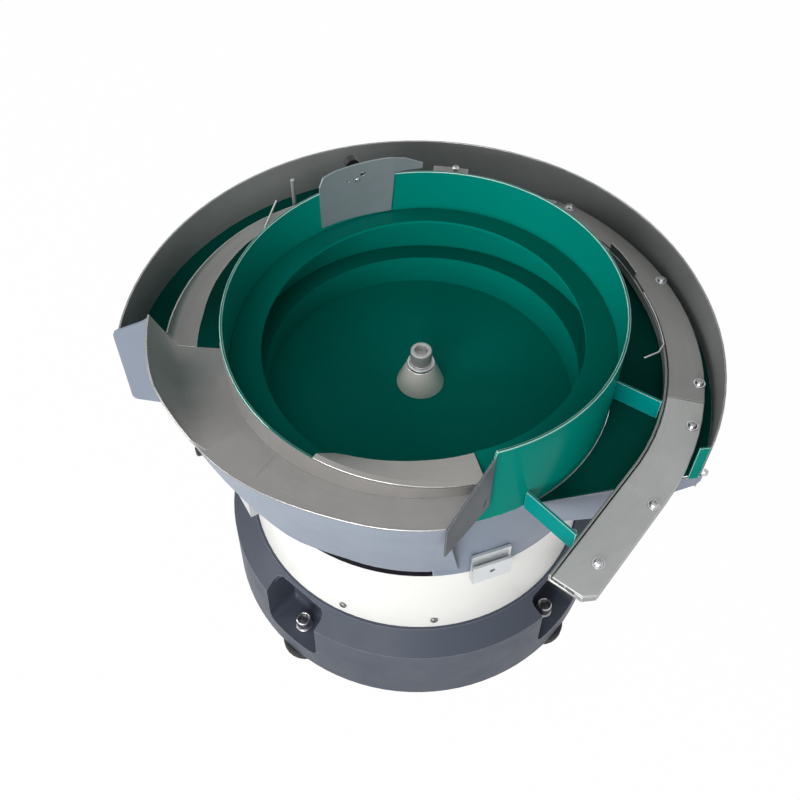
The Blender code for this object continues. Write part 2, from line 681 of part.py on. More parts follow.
def base_casting():
    item = turned("base_casting", [
        (0, BASE_FLOOR_Z), (CAVITY_RADIUS, BASE_FLOOR_Z),
        (CAVITY_RADIUS, BASE_TOP_Z + SPIGOT_RISE), (SPIGOT_RADIUS, BASE_TOP_Z + SPIGOT_RISE),
        (SPIGOT_RADIUS, BASE_TOP_Z), (BASE_TOP_RADIUS, BASE_TOP_Z),
        (BASE_RADIUS - BASE_DRAFT, BASE_SHOULDER_Z), (BASE_RADIUS, 0), (0, 0),
    ])
    beyond = BASE_RADIUS + POCKET_CORNER * 3
    above = BASE_TOP_Z + POCKET_CORNER * 3
    for index, azimuth in enumerate(FOOT_AZIMUTHS, 1):
        outline = [
            (POCKET_BACK_RADIUS, BASE_FLOOR_Z), (beyond, BASE_FLOOR_Z), (beyond, above),
            (POCKET_OPEN_RADIUS, above), (POCKET_OPEN_RADIUS, POCKET_ROOF_Z),
            (POCKET_BACK_RADIUS, POCKET_ROOF_Z),
        ]
        half = POCKET_WIDTH / 2
        pocket = plate(f"pocket_{index}", [outline], -half, half, upright(azimuth))
        rounding = pocket.modifiers.new("corners", "BEVEL")
        rounding.width = POCKET_CORNER
        rounding.segments = 2
        rounding.limit_method = "ANGLE"
        combine(item, pocket)
        hole = STUD_RADIUS + CLEARANCE
        place = Matrix.Translation(polar(FOOT_CIRCLE, azimuth))
        high = BASE_FLOOR_Z + CLEARANCE
        combine(item, cylinder(f"stud_hole_{index}", hole, -FOOT_HEIGHT, high, place))
        seat = FOOT_RADIUS + FOOT_SEAT_MARGIN
        combine(item, cylinder(f"foot_seat_{index}", seat, -FOOT_HEIGHT, FOOT_SEAT_DEPTH, place))
    for index, azimuth in enumerate(COVER_SCREW_AZIMUTHS, 1):
        place = radial(azimuth, SPIGOT_RADIUS, COVER_SCREW_Z)
        depth = COVER_SCREW_GRIP + CLEARANCE
        hole = COVER_SCREW_RADIUS + CLEARANCE
        combine(item, cylinder(f"screw_hole_{index}", hole, -depth, depth, place, HOLE_STEPS))
    place = radial(GLAND_AZIMUTH, BASE_RADIUS, GLAND_Z)
    depth = GLAND_STUB_LENGTH + CLEARANCE
    hole = GLAND_STUB_RADIUS + CLEARANCE
    combine(item, cylinder("gland_hole", hole, -depth, depth, place))
    finish(item, "slate_coat")


def feet():
    seat = BASE_FLOOR_Z + CLEARANCE
    hole = STUD_RADIUS + CLEARANCE
    crown = FOOT_SEAT_DEPTH - CLEARANCE
    for index, azimuth in enumerate(FOOT_AZIMUTHS, 1):
        pad = turned(f"foot_pad_{index}", [
            (0, -STUD_SINK - CLEARANCE), (hole, -STUD_SINK - CLEARANCE), (hole, crown),
            (FOOT_RADIUS - FOOT_EDGE, crown), (FOOT_RADIUS, crown - FOOT_EDGE),
            (FOOT_RADIUS, FOOT_EDGE - FOOT_HEIGHT), (FOOT_RADIUS - FOOT_EDGE, -FOOT_HEIGHT),
            (0, -FOOT_HEIGHT),
        ], SMALL_STEPS)
        pad.location = polar(FOOT_CIRCLE, azimuth)
        finish(pad, "rubber")
        top = seat + STUD_RISE
        washer_top = seat + WASHER_THICKNESS
        stud = turned(f"foot_stud_{index}", [
            (0, top), (STUD_RADIUS, top), (STUD_RADIUS, washer_top),
            (WASHER_RADIUS, washer_top), (WASHER_RADIUS, seat), (STUD_RADIUS, seat),
            (STUD_RADIUS, -STUD_SINK), (0, -STUD_SINK),
        ], SMALL_STEPS)
        stud.location = pad.location
        nut_foot = washer_top - WASHER_THICKNESS / 2
        nut = plate(
            f"nut_{index}", [hexagon(NUT_FLATS)], nut_foot, washer_top + NUT_HEIGHT,
            Matrix.Translation(pad.location),
        )
        combine(stud, nut, "UNION")
        finish(stud, "zinc")


def drive_cover():
    inner = COVER_RADIUS - COVER_WALL
    cover = turned("drive_cover", [
        (inner, COVER_TOP_Z), (COVER_RADIUS, COVER_TOP_Z), (COVER_RADIUS, COVER_BOTTOM_Z),
        (inner, COVER_BOTTOM_Z),
    ])
    head = COVER_SCREW_HEAD_RADIUS
    height = COVER_SCREW_HEAD_HEIGHT
    for index, azimuth in enumerate(COVER_SCREW_AZIMUTHS, 1):
        place = radial(azimuth, COVER_RADIUS, COVER_SCREW_Z)
        hole = COVER_SCREW_RADIUS + CLEARANCE
        reach = COVER_WALL * 2
        combine(cover, cylinder(f"cover_hole_{index}", hole, -reach, reach, place, HOLE_STEPS))
        end = -COVER_WALL - CLEARANCE - COVER_SCREW_GRIP
        screw = turned(f"cover_screw_{index}", [
            (0, CLEARANCE + height), (head - height * 2 / 3, CLEARANCE + height),
            (head - height / 6, CLEARANCE + height * 2 / 3), (head, CLEARANCE + height / 4),
            (head, CLEARANCE), (COVER_SCREW_RADIUS, CLEARANCE), (COVER_SCREW_RADIUS, end),
            (0, end),
        ], HOLE_STEPS)
        screw.matrix_world = place
        finish(screw, "zinc")
    finish(cover, "white_coat")


def cable_gland():
    seat = CLEARANCE
    shoulder = seat + GLAND_HEX_LENGTH
    end = shoulder + GLAND_DOME_LENGTH
    edge = GLAND_DOME_EDGE
    gland = turned("cable_gland", [
        (0, end), (GLAND_DOME_RADIUS - edge, end), (GLAND_DOME_RADIUS, end - edge),
        (GLAND_DOME_RADIUS, seat), (GLAND_STUB_RADIUS, seat),
        (GLAND_STUB_RADIUS, -GLAND_STUB_LENGTH), (0, -GLAND_STUB_LENGTH),
    ], SMALL_STEPS)
    place = radial(GLAND_AZIMUTH, BASE_RADIUS, GLAND_Z)
    gland.matrix_world = place
    combine(gland, plate("gland_hex", [hexagon(GLAND_HEX_FLATS)], seat, shoulder, place), "UNION")
    bore = cylinder("gland_bore", GLAND_BORE_RADIUS, -end, end * 2, place, HOLE_STEPS)
    combine(gland, bore)
    finish(gland, "black_plastic")


def magnet():
    front = standing((0, 0), (1, 0))
    half = MAGNET_WIDTH / 2
    deep = MAGNET_STACK / 2
    floor = BASE_FLOOR_Z + CLEARANCE
    top = MAGNET_BASE_Z - CLEARANCE
    wall = half - BRACKET_PLATE
    bracket = plate("magnet_bracket", [[
        (-half, floor), (-wall, floor), (-wall, top - BRACKET_PLATE),
        (wall, top - BRACKET_PLATE), (wall, floor), (half, floor), (half, top), (-half, top),
    ]], -deep - BRACKET_PLATE, deep + BRACKET_PLATE, front)
    finish(bracket, "black_steel", False)
    window = half - MAGNET_LIMB
    pole = MAGNET_POLE / 2
    yoke = MAGNET_BASE_Z + MAGNET_YOKE
    core = plate("magnet_core", [[
        (-half, MAGNET_BASE_Z), (half, MAGNET_BASE_Z), (half, CORE_TOP_Z),
        (window, CORE_TOP_Z), (window, yoke), (pole, yoke), (pole, CORE_TOP_Z),
        (-pole, CORE_TOP_Z), (-pole, yoke), (-window, yoke), (-window, CORE_TOP_Z),
        (-half, CORE_TOP_Z),
    ]], -deep, deep, front)
    finish(core, "cast_iron", False)
    inside = [pole + CLEARANCE, deep + CLEARANCE]
    outside = [pole + CLEARANCE + COIL_WALL, deep + CLEARANCE + COIL_WALL]
    outlines = [box_outline(-wide, wide, -long, long) for wide, long in (outside, inside)]
    bottom = yoke + CLEARANCE
    coil = plate("magnet_coil", outlines, bottom, bottom + COIL_HEIGHT)
    finish(coil, "copper", False)
    face = CORE_TOP_Z + AIR_GAP
    outline = box_outline(-half, half, face, face + ARMATURE_THICKNESS)
    armature = plate("armature", [outline], -deep, deep, front)
    stem_top = PLATE_UNDERSIDE_Z - CLEARANCE
    stem_foot = face + ARMATURE_THICKNESS / 2
    stem = cylinder("armature_stem", ARMATURE_STEM_RADIUS, stem_foot, stem_top)
    combine(armature, stem, "UNION")
    finish(armature, "cast_iron", False)


def spring_outline(reach, half_thickness):
    """Leaned rectangle of a leaf spring, seen along the radius."""
    tilt = math.radians(SPRING_TILT)
    along = Vector((math.sin(tilt), math.cos(tilt))) * reach
    across = Vector((math.cos(tilt), -math.sin(tilt))) * half_thickness
    middle = Vector((0, (LOWER_CLAMP_TOP_Z + UPPER_CLAMP_BOTTOM_Z) / 2))
    corners = (-along - across, along - across, along + across, across - along)
    return [tuple(middle + corner) for corner in corners]


def springs():
    tilt = math.radians(SPRING_TILT)
    free = (UPPER_CLAMP_BOTTOM_Z - LOWER_CLAMP_TOP_Z) / math.cos(tilt)
    reach = free / 2 + SPRING_OVERLAP
    half = SPRING_WIDTH / 2
    shift = (UPPER_CLAMP_BOTTOM_Z - LOWER_CLAMP_TOP_Z + CLAMP_HEIGHT / 2) / 2 * math.tan(tilt)
    for index, azimuth in enumerate(SPRING_AZIMUTHS, 1):
        place = radial(azimuth, SPRING_CIRCLE)
        outline = spring_outline(reach, SPRING_THICKNESS / 2)
        finish(plate(f"leaf_spring_{index}", [outline], -half, half, place), "spring_steel", False)
        slot_outline = spring_outline(
            reach + SPRING_SIDE_GAP, SPRING_THICKNESS / 2 + SPRING_SIDE_GAP
        )
        slot = plate(f"spring_slot_{index}", [slot_outline], -half * 2, half * 2, place)
        for name, side, bottom in (
            ("lower", -1, LOWER_CLAMP_TOP_Z - CLAMP_HEIGHT), ("upper", 1, UPPER_CLAMP_BOTTOM_Z),
        ):
            middle = side * shift
            outline = box_outline(
                middle - CLAMP_LENGTH / 2, middle + CLAMP_LENGTH / 2,
                bottom, bottom + CLAMP_HEIGHT,
            )
            clamp = plate(f"spring_clamp_{name}_{index}", [outline], -half, half, place)
            finish(combine(clamp, slot), "black_steel", False)


def carrier_plate():
    item = turned("top_plate", [
        (0, BOLT_END_Z - CLEARANCE), (BOLT_HOLE, BOLT_END_Z - CLEARANCE),
        (BOLT_HOLE, BOSS_TOP_Z), (BOSS_TOP_RADIUS, BOSS_TOP_Z),
        (BOSS_BASE_RADIUS, PLATE_TOP_Z), (LOWER_OUTER, PLATE_TOP_Z),
        (LOWER_OUTER, PLATE_UNDERSIDE_Z), (0, PLATE_UNDERSIDE_Z),
    ])
    finish(item, "slate_coat")


def floor_z(radius):
    """Height of the bowl's domed floor."""
    share = (radius - CENTRE_SEAT_RADIUS) / (FLOOR_EDGE_RADIUS - CENTRE_SEAT_RADIUS)
    return CENTRE_SEAT_Z - (CENTRE_SEAT_Z - FLOOR_EDGE_Z) * share * share


def rim_z(azimuth):
    """Height of the bowl's helical rim."""
    span = 360 - RIM_DROP_ANGLE
    share = min(((RIM_START - azimuth) % 360) / span, 1)
    return RIM_LOW_Z + RIM_RISE * share ** RIM_EXPONENT


def bowl_shell():
    middle = (CENTRE_SEAT_RADIUS + FLOOR_EDGE_RADIUS) / 2
    stations = []
    for turn in steps(0, 360 - RIM_DROP_ANGLE):
        azimuth = RIM_START - turn
        rim = rim_z(azimuth)
        stations.append(swept([
            (BOLT_HOLE, CENTRE_SEAT_Z - FLOOR_THICKNESS), (BOLT_HOLE, CENTRE_SEAT_Z),
            (CENTRE_SEAT_RADIUS, CENTRE_SEAT_Z), (middle, floor_z(middle)),
            (FLOOR_EDGE_RADIUS, FLOOR_EDGE_Z), (LOWER_INNER, floor_z(LOWER_INNER)),
            (LOWER_INNER, WALL_STEP_Z + WALL_THICKNESS),
            (INNER_WALL, WALL_STEP_Z + WALL_THICKNESS + WALL_STEP_SLOPE),
            (INNER_WALL, rim), (WALL_RADIUS, rim), (WALL_RADIUS, WALL_STEP_Z),
            (LOWER_OUTER, WALL_STEP_Z), (LOWER_OUTER, BOWL_BOTTOM_Z),
            (FLOOR_EDGE_RADIUS, FLOOR_EDGE_Z - FLOOR_THICKNESS),
            (middle, floor_z(middle) - FLOOR_THICKNESS),
            (CENTRE_SEAT_RADIUS, CENTRE_SEAT_Z - FLOOR_THICKNESS),
        ], azimuth))
    finish(loft("bowl_shell", stations, closed=True), "green_coat")


def bowl_skirt():
    top = WALL_STEP_Z - CLEARANCE
    item = turned("bowl_skirt", [
        (SKIRT_INNER, top), (SKIRT_OUTER, top), (SKIRT_OUTER, SKIRT_BOTTOM_Z),
        (SKIRT_INNER, SKIRT_BOTTOM_Z),
    ])
    finish(item, "grey_coat")


def track_section(turn):
    """Section of the spiral track: a ledge that falls to the wall, and its inner riser."""
    top = FLOOR_EDGE_Z + TRACK_CLIMB * between(TRACK_HEIGHTS, turn)[0]
    deeper = TRACK_FALL - TRACK_START_FALL
    fall = TRACK_START_FALL + deeper * smooth(turn / TRACK_FALL_TURN)
    fall *= 1 - smooth((turn - TRACK_LEVEL_FROM) / (TRACK_TURN - TRACK_LEVEL_FROM))
    below_step = top - fall - TRACK_THICKNESS < WALL_STEP_Z + TRACK_OVER_STEP
    outer = (LOWER_INNER if below_step else INNER_WALL) - CLEARANCE
    riser = TRACK_INNER_RADIUS + TRACK_THICKNESS
    slope = fall / (outer - TRACK_INNER_RADIUS)
    floor = FLOOR_EDGE_Z + CLEARANCE
    share = smooth((turn - RISER_END) / RISER_FADE)
    foot = floor + (top - TRACK_LIP - floor) * share
    return [
        (TRACK_INNER_RADIUS, top), (outer, top - fall), (outer, top - fall - TRACK_THICKNESS),
        (riser, top - slope * TRACK_THICKNESS - TRACK_THICKNESS), (riser, foot),
        (TRACK_INNER_RADIUS, foot),
    ]


def spiral_track():
    stations = []
    for turn in steps(0, TRACK_TURN, TRACK_STEP):
        stations.append(swept(track_section(turn), TRACK_START - turn))
    finish(loft("spiral_track", stations), "green_coat")


def track_insert():
    stations = []
    edge = INNER_WALL - SHEET * 1.5
    for azimuth in steps(RIM_START - INSERT_SEAM, INSERT_SHAPE[0][0], INSERT_STEP):
        inner = WALL_RADIUS - INSERT_WIDTH * between(INSERT_SHAPE, azimuth)[0]
        top = rim_z(azimuth) + CLEARANCE + SHEET
        line = [(inner, INSERT_Z), (edge, top), (WALL_RADIUS, top)]
        stations.append(swept(thicken(line, SHEET), azimuth))
    finish(loft("track_insert", stations), "stainless")


def centre_fastening():
    cone = turned("cone_nut", [
        (BOLT_HOLE, CONE_TOP_Z), (CONE_TOP_RADIUS, CONE_TOP_Z),
        (CENTRE_SEAT_RADIUS, CONE_BOTTOM_Z), (BOLT_HOLE, CONE_BOTTOM_Z),
    ], SMALL_STEPS * 2)
    finish(cone, "stainless")
    step = WASHER_BOTTOM_Z + FLAT_WASHER_HEIGHT
    washer = turned("spring_washer", [
        (BOLT_HOLE, WASHER_TOP_Z), (SPRING_WASHER_RADIUS, WASHER_TOP_Z),
        (SPRING_WASHER_RADIUS, step), (FLAT_WASHER_RADIUS, step),
        (FLAT_WASHER_RADIUS, WASHER_BOTTOM_Z), (BOLT_HOLE, WASHER_BOTTOM_Z),
    ], SMALL_STEPS)
    finish(washer, "zinc")
    top = HEAD_BOTTOM_Z + BOLT_HEAD_HEIGHT
    edge = BOLT_HEAD_EDGE
    bolt = turned("centre_bolt", [
        (0, top), (BOLT_HEAD_RADIUS - edge, top), (BOLT_HEAD_RADIUS, top - edge),
        (BOLT_HEAD_RADIUS, HEAD_BOTTOM_Z), (BOLT_RADIUS, HEAD_BOTTOM_Z),
        (BOLT_RADIUS, BOLT_END_Z), (0, BOLT_END_Z),
    ], SMALL_STEPS)
    socket = hexagon(BOLT_SOCKET_FLATS)
    combine(bolt, plate("socket", [socket], top - BOLT_SOCKET_DEPTH, top + BOLT_SOCKET_DEPTH))
    finish(bolt, "black_steel")


def tray_start(radius):
    """Azimuth of the wide tray's edge along its end plate."""
    beside = END_PLATE_INNER + END_PLATE_CLOCKWISE * (SHEET / 2 + CLEARANCE)
    return on_line(beside, END_PLATE_HEADING, radius)


def tray_sizes(azimuth):
    """Floor, cross fall, edge radius and wall height of the wide tray."""
    share = (TRAY_LEVEL_TO - azimuth) / (TRAY_LEVEL_TO - TRAY_END)
    floor = TRAY_FLOOR_Z - TRAY_FALL * max(share, 0)
    cross = TRAY_CROSS_FALL * (1 - TRAY_CROSS_EASE * smooth(share))
    widening = smooth((TRAY_WIDENS_FROM - azimuth) / TRAY_WIDENS_OVER)
    edge = TRAY_EDGE_RADIUS + TRAY_WIDENING * widening
    wall = TRAY_WALL_HEIGHT * smooth((TRAY_WALL_FROM - azimuth) / TRAY_WALL_OVER)
    return floor, cross, edge, wall


def tray_section(azimuth):
    floor, cross, edge, wall = tray_sizes(azimuth)
    crease = min(edge - TRAY_LIP, TRAY_CREASE_RADIUS)
    return thicken([
        (OUTSIDE_BOWL + CLEARANCE, floor), (crease, floor - cross),
        (edge + TRAY_WALL_LEAN * wall, floor - cross + wall),
    ], SHEET)


def tray_sweep(radius):
    """Angle by which the tray's outer end runs on past its inner end."""
    return TRAY_END_SWEEP * (radius - OUTSIDE_BOWL) / (TRAY_END_RADIUS - OUTSIDE_BOWL)


def wide_tray():
    stations = []
    for share in TRAY_START_SHARES:
        nominal = TRAY_RADIAL_FROM + (TRAY_LEVEL_TO - TRAY_RADIAL_FROM) * (1 - share)
        stations.append(swept(
            tray_section(nominal),
            lambda radius: tray_start(radius) * (1 - share) + TRAY_RADIAL_FROM * share,
        ))
    for azimuth in steps(TRAY_RADIAL_FROM, TRAY_END, TRAY_STEP):
        share = smooth((TRAY_END + TRAY_SWEEP_TURN - azimuth) / TRAY_SWEEP_TURN)
        stations.append(swept(
            tray_section(azimuth), lambda radius: azimuth - tray_sweep(radius) * share
        ))
    finish(loft("wide_tray", stations), "stainless")


def apron_section(azimuth):
    floor, cross, edge, _ = tray_sizes(azimuth)
    top = floor - cross - SHEET - CLEARANCE
    past = max(APRON_RISE_START - azimuth, 0) / APRON_RISE_OVER
    lifted = APRON_BOTTOM_Z + APRON_RISE * past ** APRON_RISE_EXPONENT
    bottom = min(lifted, top - APRON_LEAST_HEIGHT)
    radius = edge - APRON_SHEET
    foot = radius - APRON_SLOPE * (top - bottom)
    return [(radius, top), (edge, top), (foot + APRON_SHEET, bottom), (foot, bottom)]


def tray_apron():
    stations = [swept(
        apron_section(APRON_START),
        lambda radius: min(APRON_START, tray_start(radius) - APRON_SEAM),
    )]
    for azimuth in steps(TRAY_RADIAL_FROM, APRON_END, TRAY_STEP):
        stations.append(swept(apron_section(azimuth), azimuth))
    finish(loft("tray_apron", stations), "grey_coat")


def tray_end_plate():
    length = (END_PLATE_OUTER - END_PLATE_INNER).length
    inner_low, inner_high = (RIM_LOW_Z + rise for rise in END_PLATE_INNER_HEIGHTS)
    outer_low, outer_high = (RIM_LOW_Z + rise for rise in END_PLATE_OUTER_HEIGHTS)
    outline = [(0, inner_low), (length, outer_low), (length, outer_high), (0, inner_high)]
    place = standing(END_PLATE_INNER, END_PLATE_HEADING)
    item = plate("tray_end_plate", [outline], -SHEET / 2, SHEET / 2, place)
    finish(item, "grey_coat", False)


def narrow_sizes(turn):
    """Edge and crease radius, floor height and flange height of the narrow track."""
    edge, crease, fall, flange = between(NARROW_TRACK, turn)
    return (
        WALL_RADIUS + NARROW_REACH * edge, WALL_RADIUS + NARROW_REACH * crease,
        TRAY_FLOOR_Z - NARROW_FALL * fall, NARROW_FLANGE * flange,
    )


def narrow_track():
    stations = []
    for turn in steps(0, NARROW_TRACK[-1][0]):
        inner, crease, floor, flange = narrow_sizes(turn)
        section = thicken([
            (inner, floor), (crease, floor), (crease + NARROW_FLANGE_LEAN, floor + flange),
        ], SHEET)
        share = 1 - smooth(turn / TRAY_SWEEP_TURN)
        azimuth = TRAY_END - NARROW_SEAM - turn
        stations.append(swept(section, lambda radius: azimuth - tray_sweep(radius) * share))
    finish(loft("narrow_track", stations), "stainless")


def sector(inner, outer, first, last, inner_last=None):
    """Outline of a ring sector between two azimuths."""
    inner_last = last if inner_last is None else inner_last
    outside = [polar(outer, azimuth).xy for azimuth in steps(first, last)]
    inside = [polar(inner, azimuth).xy for azimuth in steps(inner_last, first)]
    return [tuple(point) for point in outside + inside]


def pan_and_wall():
    last = on_line(PAN_END_POINT, PAN_END_HEADING, PAN_OUTER_RADIUS)
    inner_last = on_line(PAN_END_POINT, PAN_END_HEADING, OUTSIDE_BOWL)
    outline = sector(OUTSIDE_BOWL, PAN_OUTER_RADIUS, PAN_START, last, inner_last)
    pan = plate("return_pan", [outline], PAN_UNDERSIDE_Z, PAN_UNDERSIDE_Z + SHEET)
    finish(pan, "green_coat", False)
    outline = sector(OUTER_WALL_RADIUS - SHEET, OUTER_WALL_RADIUS, PAN_START, last)
    wall = plate("outer_wall", [outline], OUTER_WALL_BOTTOM_Z, OUTER_WALL_TOP_Z)
    finish(wall, "dark_stainless")
    root = WALL_RADIUS + SHEET * 2
    near = polar(root, on_line(PAN_END_POINT, PAN_END_HEADING, root)).xy
    far = polar(PAN_OUTER_RADIUS, last).xy
    top = PAN_UNDERSIDE_Z - CLEARANCE
    outline = box_outline(0, (far - near).length, top - PAN_FLANGE_HEIGHT, top)
    flange = plate("pan_end_plate", [outline], -SHEET, 0, standing(near, PAN_END_HEADING))
    finish(flange, "grey_coat", False)


def end_flap():
    outer = OUTER_WALL_RADIUS + FLAP_REACH
    low, high = (PAN_UNDERSIDE_Z + rise for rise in FLAP_INNER_HEIGHTS)
    outline = [
        (-outer, PAN_UNDERSIDE_Z + FLAP_OUTER_BOTTOM), (-TRAY_END_RADIUS, low),
        (-TRAY_END_RADIUS, high), (-TRAY_END_RADIUS - FLAP_CHAMFER, high - FLAP_CHAMFER),
        (-outer, OUTER_WALL_TOP_Z),
    ]
    flap = plate("end_flap", [outline], -SHEET, 0, standing((0, FLAP_Y), (1, 0)))
    finish(flap, "grey_coat", False)


def bed_inner(azimuth):
    """Radius of the covered slot's inner side."""
    return BED_OUTER_RADIUS - BED_WIDTH * between(BED_SHAPE, azimuth)[0]


def along_bed(section, azimuth, distance):
    """Place a (radius, z) section on the discharge track's bend or its straight end."""
    ahead = polar(distance, BEND_END - 90)
    return [polar(radius, azimuth, z) + ahead for radius, z in section]


def bed_places(first):
    """Azimuth and straight distance of each station of the discharge track."""
    bend = [(azimuth, 0) for azimuth in steps(first, BEND_END)]
    chamfer = BED_STRAIGHT - BED_CHAMFER
    return bend + [(BEND_END, distance) for distance in (chamfer / 2, chamfer, BED_STRAIGHT)]


def bed_outer(distance):
    """Radius of the discharge track's outer edge, with the chamfer at its end."""
    return BED_OUTER_RADIUS - max(0, distance - (BED_STRAIGHT - BED_CHAMFER))


def discharge_bed():
    stations = []
    floor = BED_UNDERSIDE_Z + BED_PLATE
    spacer = TRACK_COVER_Z - CLEARANCE
    for azimuth, distance in bed_places(BED_START):
        edge = bed_inner(azimuth) - BED_RAIL_OUTSET
        outer = bed_outer(distance)
        stations.append(along_bed([
            (edge, BED_UNDERSIDE_Z), (edge, RAIL_TOP_Z), (edge + BED_RAIL_WALL, RAIL_TOP_Z),
            (edge + BED_RAIL_WALL, floor), (outer - BED_SPACER, floor),
            (outer - BED_SPACER, spacer), (outer, spacer), (outer, BED_UNDERSIDE_Z),
        ], azimuth, distance))
    finish(loft("discharge_bed", stations), "dark_stainless", False)


def discharge_covers():
    def section(azimuth, distance):
        inner = bed_inner(azimuth)
        outer = bed_outer(distance)
        return along_bed([
            (inner, TRACK_COVER_Z), (inner, RAIL_TOP_Z), (outer, RAIL_TOP_Z),
            (outer, TRACK_COVER_Z),
        ], azimuth, distance)

    last = TRACK_COVER_SEAM + TRACK_COVER_PLAY
    rear = [section(azimuth, 0) for azimuth in steps(TRACK_COVER_REAR_START, last)]
    finish(loft("discharge_cover_rear", rear), "stainless", False)
    front = [section(*place) for place in bed_places(TRACK_COVER_SEAM - TRACK_COVER_PLAY)]
    finish(loft("discharge_cover_front", front), "stainless", False)


def discharge_brackets():
    half = BRACKET_THICKNESS / 2
    root = WALL_RADIUS + CLEARANCE + BRACKET_LEAN
    across = polar(1, BEND_END).xy
    start = polar(root, FRONT_BRACKET_AZIMUTH).xy
    edge = bed_inner(BEND_END) - BED_RAIL_OUTSET - CLEARANCE - BRACKET_LEAN
    length = (edge - start.dot(across)) / FRONT_BRACKET_HEADING.dot(across)
    places = [("front_bracket", start, FRONT_BRACKET_HEADING, length)]
    start = polar(root, RIGHT_BRACKET_AZIMUTH).xy
    edge = bed_inner(RIGHT_BRACKET_END) - BED_RAIL_OUTSET - CLEARANCE - BRACKET_LEAN
    along = start.dot(RIGHT_BRACKET_HEADING)
    length = math.sqrt(along * along - root * root + edge * edge) - along
    places.append(("right_bracket", start, RIGHT_BRACKET_HEADING, length))
    bottom = BED_UNDERSIDE_Z - BRACKET_DROP
    for name, start, heading, length in places:
        outline = box_outline(0, length, bottom, BED_UNDERSIDE_Z + BRACKET_RISE)
        item = plate(name, [outline], -half, half, standing(start, heading))
        finish(item, "green_coat", False)


def deflector():
    stations = []
    for azimuth, offset, low, high in DEFLECTOR:
        inner = WALL_RADIUS + offset
        outer = inner + SHEET
        bottom = RIM_LOW_Z + low
        top = RIM_LOW_Z + high
        section = [(inner, bottom), (inner, top), (outer, top), (outer, bottom)]
        stations.append(swept(section, azimuth))
    item = loft("deflector_plate", stations)
    place = radial(DEFLECTOR_HOLE_AZIMUTH, INNER_WALL, RIM_LOW_Z + DEFLECTOR_HOLE_RISE)
    reach = THUMB_SCREW_REACH
    hole = DEFLECTOR_HOLE_RADIUS
    combine(item, cylinder("deflector_hole", hole, -reach, reach, place, HOLE_STEPS))
    place = radial(BRACKET_AZIMUTH, OUTSIDE_BOWL, RIM_LOW_Z + THUMB_SCREW_RISE)
    hole = THUMB_SCREW_RADIUS + CLEARANCE
    screw_hole = cylinder("thumb_screw_hole", hole, -reach, reach, place, HOLE_STEPS)
    combine(item, screw_hole)
    finish(item, "stainless")
    half = BRACKET_WIDTH / 2
    low, high = (RIM_LOW_Z + rise for rise in BRACKET_RISES)
    outline = box_outline(OUTSIDE_BOWL, OUTSIDE_BOWL + BRACKET_SHEET, low, high)
    bracket = plate("deflector_bracket", [outline], -half, half, upright(BRACKET_AZIMUTH))
    finish(combine(bracket, screw_hole), "stainless", False)
    tip = DEFLECTOR[0][1] - CLEARANCE - THUMB_SCREW_TIP
    knob = BRACKET_SHEET + THUMB_SCREW_REACH
    end = knob + THUMB_KNOB_LENGTH
    edge = THUMB_KNOB_EDGE
    screw = turned("thumb_screw", [
        (0, end), (THUMB_KNOB_RADIUS - edge, end), (THUMB_KNOB_RADIUS, end - edge),
        (THUMB_KNOB_RADIUS, knob), (THUMB_SCREW_RADIUS, knob), (THUMB_SCREW_RADIUS, tip),
        (0, tip),
    ], HOLE_STEPS)
    screw.matrix_world = place
    finish(screw, "black_plastic")


def rear_guides():
    first, last = REAR_TAB_AZIMUTHS
    bottom = RIM_LOW_Z + REAR_TAB_RISE
    outline = sector(OUTSIDE_BOWL, OUTSIDE_BOWL + REAR_TAB_LENGTH, last, first)
    finish(plate("rear_tab", [outline], bottom, bottom + SHEET), "stainless", False)
    edge, _, floor, _ = narrow_sizes(GUIDE_ROD_TURN)
    height = floor + CLEARANCE + GUIDE_ROD_RADIUS
    foot = polar(edge + GUIDE_ROD_INSET, TRAY_END - GUIDE_ROD_TURN, height)
    height = OUTER_WALL_TOP_Z + GUIDE_ROD_TOP_RISE
    head = polar(TRAY_CREASE_RADIUS, GUIDE_ROD_TOP_AZIMUTH, height)
    finish(rod("guide_rod", [foot, head], GUIDE_ROD_RADIUS), "zinc")
    bottom = PAN_UNDERSIDE_Z + SHEET + CLEARANCE
    top = OUTER_WALL_TOP_Z + GUIDE_POST_RISE
    radius = OUTER_WALL_RADIUS - GUIDE_POST_OFFSET
    place = Matrix.Translation(polar(radius, GUIDE_POST_AZIMUTH))
    post = cylinder("guide_post", GUIDE_POST_RADIUS, bottom, top, place, HOLE_STEPS)
    finish(post, "zinc")


def discharge_guides():
    rail = BED_RAIL_OUTSET - BED_RAIL_WALL / 2
    height = RAIL_TOP_Z + CLEARANCE + GUIDE_WIRE_RADIUS
    places = [(azimuth, rail) for azimuth in steps(*GUIDE_WIRE_AZIMUTHS, GUIDE_WIRE_STEP)]
    places.extend(GUIDE_WIRE_TAIL)
    points = [polar(bed_inner(azimuth) - inset, azimuth, height) for azimuth, inset in places]
    finish(rod("guide_wire", points, GUIDE_WIRE_RADIUS), "zinc")
    first, last = GUIDE_STRIP_AZIMUTHS
    bottom = RAIL_TOP_Z + CLEARANCE
    top = bottom + GUIDE_STRIP_HEIGHT
    stations = []
    for azimuth in steps(first, last):
        outer = bed_inner(azimuth) - BED_RAIL_OUTSET + SHEET
        inner = outer - SHEET
        section = [(inner, bottom), (inner, top), (outer, top), (outer, bottom)]
        stations.append(swept(section, azimuth))
    finish(loft("guide_strip", stations), "stainless", False)


